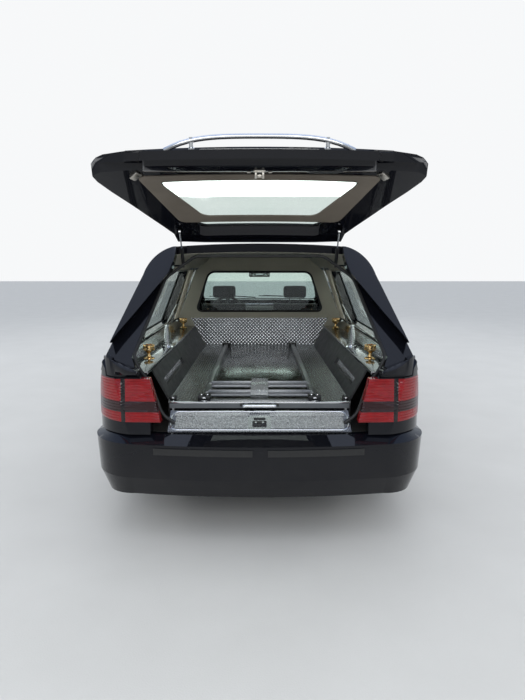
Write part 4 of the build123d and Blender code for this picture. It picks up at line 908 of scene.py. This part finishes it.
piece("ledge_columns", columns, chrome, crease=20)
piece("ledge_knobs", knobs, black_moulding)
for side, sign in SIDES:
    wall = surface(f"{side}_side_panel")
    for number, height in enumerate((0.911, 0.948)):
        line = [spot(0.3 * sign, station, height) for station in (0.32, 0.62, 1.5, 2.34)]
        bead(f"{side}_window_rail_{number}", line, 0.0065, chrome, closed=False, onto=wall,
             aim=(sign, 0, 0), lift=0.009)

# The seals inside: a hollow black rubber section pushed on to the flange all round the tailgate's
# opening, and another that holds the fixed pane of the partition.
TAIL_OPENING = [(0.432, 0.600), (0.497, 0.642), (0.552, 0.800), (0.614, 0.862), (0.647, 0.930),
                (0.532, 1.322), (0.374, 1.446)]
seal_line = [spot(px, tail_line(pz) + bow(px) + (0.088 if pz > 0.85 else 0.060), pz)
             for px, pz in TAIL_OPENING]
seal_line += [Vector((-point.x, point.y, point.z)) for point in reversed(seal_line)]
bead("opening_seal", seal_line, 0.009, rubber, closed=False, rounding=0.03)
pane_line = [(-0.562, 0.984), (0.562, 0.984), (0.445, 1.33), (-0.445, 1.33)]
bead("partition_seal", shrunk([spot(px, DECK_TO + 0.004, pz) for px, pz in pane_line], -0.008),
     0.009, rubber, rounding=0.05)

# The tailgate's fittings: a plated latch on the lock box with a recessed pull beside it, two hooks
# at the belt, and an arched chrome grip on two posts below the number plate. Then its gas struts.
plated = finish(
    "plated_steel", "grey_metal", (0.50, 0.48, 0.43), 0.3, 1.0, shine=(120, 3.0, 0.3, 0.16),
    tones=(40, 4.0, (0.35, 0.32, 0.26), (0.62, 0.60, 0.56)))
gate_face = surface("tailgate")
box_foot = spot(0, *opened(0.190, 0.70))
box_up = (spot(0, *opened(0.198, 0.75)) - box_foot).normalized()
box_out = Vector((-1, 0, 0)).cross(box_up)


def on_box(bm, x, along, low, high, rounding):
    """A block set on the lock box's face, along metres from its foot, its z out of the face."""
    base = spot(x, *opened(0.190, 0.70)) + box_up * along
    turn = Matrix((
        (-1, box_up.x, box_out.x, base.x),
        (0, box_up.y, box_out.y, base.y),
        (0, box_up.z, box_out.z, base.z),
        (0, 0, 0, 1),
    ))
    brick(bm, low, high, rounding, matrix=turn)


latch, pulls, posts = bmesh.new(), bmesh.new(), bmesh.new()
on_box(latch, 0.0, 0.02, (-0.026, -0.03, -0.004), (0.026, 0.05, 0.004), 0.002)
for x in (-0.0155, 0.0155):
    on_box(latch, 0.0, 0.02, (x - 0.0055, -0.028, 0.002), (x + 0.0055, 0.034, 0.030), 0.003)
on_box(latch, 0.0, 0.02, (-0.015, -0.006, 0.012), (0.015, 0.004, 0.026), 0.002)
for x in (-0.046, 0.046):
    on_box(latch, 0.0, 0.03, (x - 0.009, -0.009, -0.002), (x + 0.009, 0.009, 0.007), 0.004)
for sign in (1, -1):
    place, normal = gate_face.ray_cast(spot(sign * 0.582, *opened(0.5, 0.955)), OPEN_OUTWARD)[:2]
    turn = Vector((0, 0, 1)).rotation_difference(normal).to_matrix().to_4x4()
    brick(latch, (-0.017, -0.030, -0.003), (0.017, 0.030, 0.016), 0.004,
          matrix=Matrix.Translation(place) @ turn @ Matrix.Rotation(sign * 0.6, 4, "Z"))
    turned(posts, [(0, 0.044), (0.008, 0.044), (0.009, 0.006), (0.014, 0.002), (0.014, -0.003)],
           spot(sign * 0.285, *opened(0.098, 0.70)), OPEN_OUTWARD, steps=20)
piece("tailgate_latch", latch, plated, "tailgate")
on_box(pulls, 0.285, 0.05, (-0.075, -0.03, -0.004), (0.075, 0.075, 0.003), 0.003)
on_box(pulls, 0.285, 0.05, (-0.064, -0.02, 0.0025), (0.064, 0.064, 0.0045), 0.0015)
piece("tailgate_pull", pulls, satin_black, "tailgate")
GRIP_HALF, GRIP_ARCH = 0.398, 0.048
arch = []
for number in range(25):
    share = number / 12 - 1
    station = 0.098 + 0.008 * share ** 2 - GRIP_ARCH * (1 - share ** 4)
    arch.append(spot(GRIP_HALF * share, *opened(station, 0.70)))
bead("tailgate_grip", arch, 0.011, chrome, "tailgate", closed=False)
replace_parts(piece("tailgate_grip_posts", posts, chrome, "tailgate"), "tailgate_grip_strip")
dress(chrome, "strut_rods")
dress(finish(
    "strut_black", None, (0.02, 0.02, 0.021), 0.3, 0.3, shine=(80, 3.0, 0.2, 0.22)), "strut_tubes")

# The number plates: blank, pressed from thin sheet, and fixed a little proud of the tailgate and
# the front bumper, whose curve they follow.
blank_plate = finish(
    "blank_plate", "grey_metal", (0.70, 0.70, 0.68), 0.35,
    tones=(15, 4.0, (0.62, 0.62, 0.60), (0.74, 0.74, 0.72)))
PLATE_WIDE, PLATE_TALL, PLATE_THICK = 0.51, 0.11, 0.004
for name, body, behind, out, facing in (
        ("front_plate", "root", surface("front_bumper"), Vector((0, 1, 0)),
         lambda x, up: spot(x, 6.2, 0.47 + up)),
        ("rear_plate", "tailgate", gate_face, OPEN_OUTWARD,
         lambda x, up: spot(x, *opened(-0.3, 0.80 + up)))):
    plate = bmesh.new()
    bmesh.ops.create_grid(plate, x_segments=12, y_segments=4, size=0.5)
    for vert in plate.verts:
        start = facing(vert.co.x * PLATE_WIDE, vert.co.y * PLATE_TALL)
        vert.co = (behind.ray_cast(start, -out)[0] or start) + out * PLATE_THICK
    thicken(plate, -out * PLATE_THICK)
    piece(name, plate, blank_plate, body)

# The tyres: ribbed treads of black rubber with cut shoulders, on cast alloy wheels with eight
# openings, a plain cap and five bolts, over ventilated brake discs.
tyre_rubber = finish(
    "tyre_rubber", "tyre", (0.018, 0.018, 0.018), 0.75, bumps=(900, 2.0, 0.0003),
    tones=(14, 5.0, (0.012, 0.012, 0.012), (0.038, 0.036, 0.033)))
alloy = finish(
    "wheel_alloy", "alloy", (0.50, 0.51, 0.52), 0.28, 0.85, Coat_Weight=0.4, shine=(50, 3.0, 0.18, 0.2),
    tones=(9, 5.0, (0.38, 0.375, 0.37), (0.55, 0.56, 0.57)))
disc_steel = finish(
    "disc_steel", "iron", (0.33, 0.33, 0.33), 0.35, 1.0,
    tones=(25, 5.0, (0.20, 0.18, 0.16), (0.42, 0.42, 0.42)))
HALF_TREAD = [
    (0.3165, 0.000), (0.3165, 0.014), (0.3095, 0.015), (0.3095, 0.021), (0.3160, 0.022),
    (0.3155, 0.046), (0.3085, 0.047), (0.3085, 0.053), (0.3145, 0.054), (0.3125, 0.078),
    (0.3105, 0.086), (0.3050, 0.095), (0.2950, 0.1025), (0.2800, 0.1058), (0.2640, 0.1070),
    (0.2490, 0.1062), (0.2470, 0.1072), (0.2440, 0.1072), (0.2420, 0.1055), (0.2280, 0.1020),
    (0.2140, 0.0965), (0.2075, 0.0950), (0.2055, 0.0900),
]
TREAD = [(radius, -shift) for radius, shift in reversed(HALF_TREAD[1:])] + HALF_TREAD
DISC_PROFILE = [(0.062, -0.011), (0.142, -0.011), (0.144, -0.009), (0.144, 0.009), (0.142, 0.011),
                (0.085, 0.011), (0.062, 0.011), (0.062, -0.011)]
BOLTS, BOLT_RING = 5, 0.047
for wheel in ("right_front", "left_front", "right_rear", "left_rear"):
    side = 1 if wheel.startswith("right") else -1
    body = f"{wheel}_wheel"
    low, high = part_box(f"{wheel}_tyre")
    centre = (low + high) / 2
    tyre, cap, nuts, disc = bmesh.new(), bmesh.new(), bmesh.new(), bmesh.new()
    turned(tyre, TREAD, (0, 0, 0), (1, 0, 0), steps=84)
    tyre.normal_update()
    tread_faces = [face for face in tyre.faces
                   if abs(face.normal.x) < 0.5 and face.calc_center_median().yz.length > 0.3105]
    bmesh.ops.inset_individual(tyre, faces=tread_faces, thickness=0.0016, depth=0.0034)
    bmesh.ops.translate(tyre, vec=centre, verts=tyre.verts)
    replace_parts(piece(f"{wheel}_tread", tyre, tyre_rubber, body, crease=38), f"{wheel}_tyre")
    dress(alloy, f"{wheel}_rim")
    rim_face = surface(f"{wheel}_rim")
    outward, inward = Vector((side, 0, 0)), Vector((-side, 0, 0))
    beside = Vector((side * 1.5, centre.y, centre.z))
    turned(cap, [(0, 0.010), (0.018, 0.0095), (0.027, 0.006), (0.030, 0.0), (0.030, -0.003)],
           rim_face.ray_cast(beside, inward)[0], outward, steps=32)
    piece(f"{wheel}_cap", cap, alloy, body)
    for number in range(BOLTS):
        angle = number * 2 * pi / BOLTS + 0.3
        place = beside + Vector((0, cos(angle), sin(angle))) * BOLT_RING
        turned(nuts, [(0, 0.008), (0.007, 0.008), (0.0085, 0.006), (0.0085, -0.002)],
               rim_face.ray_cast(place, inward)[0], outward, steps=6)
    piece(f"{wheel}_bolts", nuts, chrome, body, crease=20)
    turned(disc, DISC_PROFILE, (side * (abs(centre.x) - 0.048), centre.y, centre.z), outward, steps=48)
    piece(f"{wheel}_disc", disc, disc_steel, body)

# The headlamps: two fluted oval glasses a side, each over a deep silvered bowl. The lenses are
# moulded and clipped into the wing and bonnet.
lamp_glass = finish(
    "headlamp_glass", "clear_lens", (0.94, 0.96, 0.97), 0.03, shine=(30, 3.0, 0.05, 0.01),
    Transmission_Weight=0.92, IOR=1.3, Coat_Weight=0.5)
shader, wire = inside(lamp_glass)
turns = parts_of(wire)[0] * 620.0
relief(shader, turns.math("SINE", turns) * 0.5 + 0.5, 0.0008)
silver_bowl = finish("silver_bowl", "chrome", (0.80, 0.81, 0.82), 0.12, 1.0, shine=(80, 3.0, 0.12, 0.06))
HEADLAMPS = ((0.672, 0.650, 0.128, 0.076), (0.436, 0.646, 0.092, 0.064))
BOWL_PROFILE = [(0, -0.062), (0.35, -0.058), (0.62, -0.046), (0.82, -0.028), (0.95, -0.010),
                (0.985, -0.006)]
UPRIGHT = Matrix.Rotation(pi / 2, 4, "X")
lamp_face = surface("headlamps")
glasses, bowls = bmesh.new(), bmesh.new()
for sign in (1, -1):
    for px, pz, wide, tall in HEADLAMPS:
        sized = Matrix.LocRotScale((sign * px, 0, pz), None, (wide - 0.002, 1, tall - 0.002))
        oval = bmesh.ops.create_circle(glasses, cap_ends=True, segments=40, radius=1.0,
                                       matrix=sized @ UPRIGHT)["verts"]
        centres = bmesh.ops.poke(glasses, faces=[oval[0].link_faces[0]])["verts"]
        edges = {edge for vert in centres for edge in vert.link_edges}
        bmesh.ops.subdivide_edges(glasses, edges=list(edges), cuts=4)
        made = turned(bowls, BOWL_PROFILE, (0, 0, 0), (0, 1, 0), steps=36)
        bmesh.ops.scale(bowls, vec=(wide, 1, tall), verts=made)
        hit, hit_out, hit_in = [
            lamp_face.find_nearest(spot(sign * place, 5.6, pz))[0]
            for place in (px, px + wide * 0.9, px - wide * 0.9)]
        sweep = (hit_out.y - hit_in.y) / (1.8 * wide)
        for vert in made:
            vert.co += Vector((sign * px, hit.y + sign * sweep * vert.co.x, pz))
for vert in glasses.verts:
    place = lamp_face.ray_cast(Vector((vert.co.x, 4.0, vert.co.z)), Vector((0, -1, 0)))[0]
    vert.co = place or lamp_face.find_nearest(Vector((vert.co.x, 2.9, vert.co.z)))[0]
thicken(glasses, (0, -0.004, 0))
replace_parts(piece("headlamp_glasses", glasses, lamp_glass, crease=50), "headlamps")
piece("headlamp_bowls", bowls, silver_bowl)
dress(chrome, "grille")

# The doors' handles and mirrors: grip bars over dished backs, the bars painted like the body, and
# silvered mirror glass in each housing.
mirror_glass = finish(
    "mirror_glass", "chrome", (0.75, 0.77, 0.78), 0.03, 1.0, shine=(25, 4.0, 0.1, 0.01, 3.0))
HANDLES = {"front_door": 3.295, "rear_door": 2.075}
GRIP_BLOCKS = (
    (-0.085, 0.085, 0.012, 0.018, 0.030), (0.058, 0.085, 0.011, -0.004, 0.020),
    (-0.085, -0.058, 0.011, -0.004, 0.020))
MIRROR_X, MIRROR_Z, MIRROR_STATION = 0.918, 0.999, 3.93
for side, sign in SIDES:
    for door, station in HANDLES.items():
        body = f"{side}_{door}"
        hit = surface(body).ray_cast(spot(sign * RAY_SIDE, station, 0.852), Vector((-sign, 0, 0)))[0]
        grip, dish = bmesh.new(), bmesh.new()
        for rear, front, half, inner_x, outer_x in GRIP_BLOCKS:
            low_x, high_x = sorted((sign * inner_x, sign * outer_x))
            brick(grip, (low_x, rear, -half), (high_x, front, half), 0.0045, 3)
        bmesh.ops.translate(grip, vec=hit, verts=grip.verts)
        piece(f"{side}_{door}_handle", grip, black_paint, body)
        bmesh.ops.create_uvsphere(dish, u_segments=28, v_segments=12, radius=1.0,
                                  matrix=Matrix.LocRotScale(hit, None, (0.004, 0.062, 0.026)))
        piece(f"{side}_{door}_handle_dish", dish, satin_black, body)
    housing = surface(f"{side}_front_door")
    pane = bmesh.new()
    bmesh.ops.create_circle(pane, cap_ends=True, segments=36, radius=1.0, matrix=UPRIGHT)
    for vert in pane.verts:
        squared = max(abs(vert.co.x), abs(vert.co.z)) ** 0.55
        vert.co = Vector((sign * MIRROR_X + vert.co.x / squared * 0.068, 0,
                          MIRROR_Z + vert.co.z / squared * 0.048))
    bmesh.ops.inset_region(pane, faces=pane.faces[:], thickness=0.004, depth=0.0)
    for vert in pane.verts:
        start = spot(vert.co.x, 3.6, vert.co.z)
        place = housing.ray_cast(start, Vector((0, 1, 0)))[0] or spot(0, MIRROR_STATION, 0)
        vert.co.y = place.y - 0.002
    thicken(pane, (0, 0.004, 0))
    piece(f"{side}_mirror_glass", pane, mirror_glass, f"{side}_front_door")

# The windscreen's wipers: black pressed arms from two pivots in the cowl, and rubber blades lying
# along the foot of the glass.
screen_face = surface("windscreen")
for number, (pivot_x, tip_x) in enumerate(((0.55, 0.05), (-0.05, -0.55))):
    arm = [(pivot_x, 0.995), ((pivot_x + tip_x) / 2, 1.012), (tip_x, 1.02)]
    blade = [(pivot_x - 0.12, 1.008), (tip_x - 0.06, 1.016)]
    for part, line, radius, material, lift in (
            ("arm", arm, 0.006, satin_black, 0.014), ("blade", blade, 0.005, rubber, 0.006)):
        bead(f"wiper_{part}_{number}", [spot(x, RAY_FRONT, z) for x, z in line], radius, material,
             closed=False, onto=screen_face, aim=(0, -1, 0), lift=lift)

# The cab: black cloth seats of moulded foam on steel frames bolted to the floor, a grained vinyl
# dashboard, and a mirror on a stalk from the windscreen.
dress(dark_vinyl, "dashboard")
seat_cloth = finish("black_seat_cloth", "seat_cloth", (0.02, 0.02, 0.022), 0.88, Sheen_Weight=0.3)
THREADS = 2400.0
shader, wire = inside(seat_cloth)
x, y, z = parts_of(wire)
weave = x.math("SINE", x * THREADS) * y.math("SINE", (y + z) * THREADS)
feed(shader, "Base Color", blend(grain(wire, 18, 4.0) * 0.7 + weave * 0.3, (0.010, 0.010, 0.011),
                                 (0.042, 0.042, 0.046)))
relief(shader, weave * 0.5 + 0.5, 0.0005)
SEAT_X, SEAT_HALF = 0.375, 0.255
PADS = {
    "cushion": ([(3.445, 0.345), (3.445, 0.475), (3.84, 0.498), (3.846, 0.400), (3.80, 0.345)],
                SEAT_HALF, 0.012),
    "back": ([(3.235, 0.470), (3.425, 0.490), (3.322, 0.995), (3.225, 0.995)], SEAT_HALF - 0.01, 0.012),
    "headrest": ([(3.250, 1.045), (3.305, 1.045), (3.322, 1.165), (3.258, 1.175)], 0.122, 0.010),
}
CLOTH_FRAMES = 20
SEAM_INSET = 0.045


def stuffed(outline, half, cap):
    """A foam pad of a side outline, swollen in its cover by a cloth simulation."""
    bm = bmesh.new()
    bm.faces.new([bm.verts.new(spot(-half, *corner)) for corner in outline])
    thicken(bm, (2 * half, 0, 0))
    rounded(bm, bm.edges[:], 0.022)
    pad = placed("pad", bm)
    blocks = pad.modifiers.new("blocks", "REMESH")
    blocks.mode, blocks.voxel_size = "VOXEL", 0.013
    still = bmesh.new()
    still.from_object(pad, bpy.context.evaluated_depsgraph_get())
    bpy.data.meshes.remove(pad.data)
    pad = placed("pad", still.copy())
    cover = pad.modifiers.new("cover", "CLOTH")
    cover.settings.use_pressure = True
    cover.settings.uniform_pressure_force = 4.0
    cover.settings.effector_weights.gravity = 0.0
    for number in range(1, CLOTH_FRAMES + 1):
        bpy.context.scene.frame_set(number)
    swollen = bmesh.new()
    swollen.from_object(pad, bpy.context.evaluated_depsgraph_get())
    still.verts.ensure_lookup_table()
    for vert in swollen.verts:
        start = still.verts[vert.index].co
        move = vert.co - start
        vert.co = start + move * min(1.0, cap / max(move.length, 1e-6))
    still.free()
    bpy.data.meshes.remove(pad.data)
    bpy.context.scene.frame_set(1)
    return swollen


for part, (outline, half, cap) in PADS.items():
    pad_shape = stuffed(outline, half, cap)
    skin = BVHTree.FromBMesh(pad_shape)
    for side, sign in SIDES:
        shift = Vector((sign * SEAT_X, 0, 0))
        copy = pad_shape.copy()
        bmesh.ops.translate(copy, vec=shift, verts=copy.verts)
        made = piece(f"{side}_seat_{part}", copy, seat_cloth, crease=180)
        rounder = made.modifiers.new("rounder", "SUBSURF")
        rounder.levels = rounder.render_levels = 1
        for edge in (-1, 1):
            corners = []
            for one, other in zip(outline, outline[1:] + outline[:1]):
                for share in (0.0, 0.25, 0.5, 0.75):
                    place = [a + (b - a) * share for a, b in zip(one, other)]
                    aimed = spot(edge * (half - SEAM_INSET), *place)
                    corners.append(skin.find_nearest(aimed)[0] + shift)
            bead(f"{side}_seat_{part}_seam_{'outer' if edge * sign > 0 else 'inner'}", corners, 0.0028,
                 seat_cloth, rounding=0.01)
    pad_shape.free()
frames = bmesh.new()
for sign in (1, -1):
    for foot_x in (sign * SEAT_X - 0.2, sign * SEAT_X + 0.2):
        for half, rear, low, front, high in (
                (0.02, 3.38, 0.280, 3.80, 0.305), (0.012, 3.40, 0.300, 3.78, 0.352),
                (0.012, 3.30, 0.330, 3.44, 0.420)):
            brick(frames, spot(foot_x - half, rear, low), spot(foot_x + half, front, high), 0.003)
    for rod_x in (sign * SEAT_X - 0.055, sign * SEAT_X + 0.055):
        turned(frames, [(0.0055, 0), (0.0055, 0.12)], spot(rod_x, 3.268, 0.955), steps=16)
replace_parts(piece("seat_frames", frames, satin_black), "front_seats")
CAB_MIRROR, CAB_MIRROR_Z = 3.78, 1.287
perch = screen_face.find_nearest(spot(0, CAB_MIRROR, CAB_MIRROR_Z + 0.035))[0]
bead("cab_mirror_stalk", [spot(0, CAB_MIRROR + 0.008, CAB_MIRROR_Z + 0.01), perch], 0.006, satin_black,
     closed=False)
bricks("cab_mirror", satin_black,
       (spot(-0.1195, CAB_MIRROR - 0.006, 1.253), spot(0.1195, CAB_MIRROR + 0.022, 1.321), 0.013, 4))
bricks("cab_mirror_glass", mirror_glass,
       (spot(-0.110, CAB_MIRROR - 0.0075, 1.261), spot(0.110, CAB_MIRROR - 0.005, 1.313), 0.001))

# The curtains: cream cloth gathered in pleats at the front edge of each quarter window, threaded on
# a rod over the glass and another under it.
cream_cloth = finish(
    "cream_curtain", None, (0.62, 0.57, 0.44), 0.85, bumps=(1600, 2.0, 0.0003),
    tones=(9, 4.0, (0.54, 0.49, 0.37), (0.68, 0.63, 0.50)), Sheen_Weight=0.2)
CURTAIN_REAR, CURTAIN_FRONT = 1.83, 2.0
CURTAIN_FOOT, CURTAIN_TOP = 0.965, 1.350
PLEATS = 9
for side, sign in SIDES:
    wall = surface(f"{side}_inner_trim")
    reach = []
    for end, height, fallback in (("foot", CURTAIN_FOOT, 0.70), ("top", CURTAIN_TOP, 0.55)):
        hits = [wall.ray_cast(spot(sign * 0.2, station, height), Vector((sign, 0, 0)))[0]
                for station in (2.04, 2.10)]
        reach.append(min([abs(hit.x) for hit in hits if hit] or [fallback]) - 0.024)
        rod = [spot(sign * reach[-1], station, height) for station in (0.9, 2.06)]
        bead(f"{side}_curtain_rod_{end}", rod, 0.003, chrome, closed=False)
    lean = reach[1] - reach[0]
    cloth = bmesh.new()
    bmesh.ops.create_grid(cloth, x_segments=PLEATS * 10, y_segments=14, size=0.5)
    for vert in cloth.verts:
        along, up = vert.co.x + 0.5, vert.co.y + 0.5
        wave = 0.010 * sin(2 * pi * PLEATS * along + 0.8 * sin(5 * up))
        pinch = 1.0 - 0.18 * sin(pi * up)
        vert.co = spot(sign * (reach[0] + lean * up + wave),
                       CURTAIN_FRONT - (1 - along) * (CURTAIN_FRONT - CURTAIN_REAR) * pinch,
                       CURTAIN_FOOT + (CURTAIN_TOP - CURTAIN_FOOT) * up)
    area = sum(face.calc_area() for face in cloth.faces)
    drop = Vector((lean, CURTAIN_TOP - CURTAIN_FOOT)).length
    curtain = piece(f"{side}_curtain", cloth, cream_cloth, crease=180)
    area / drop
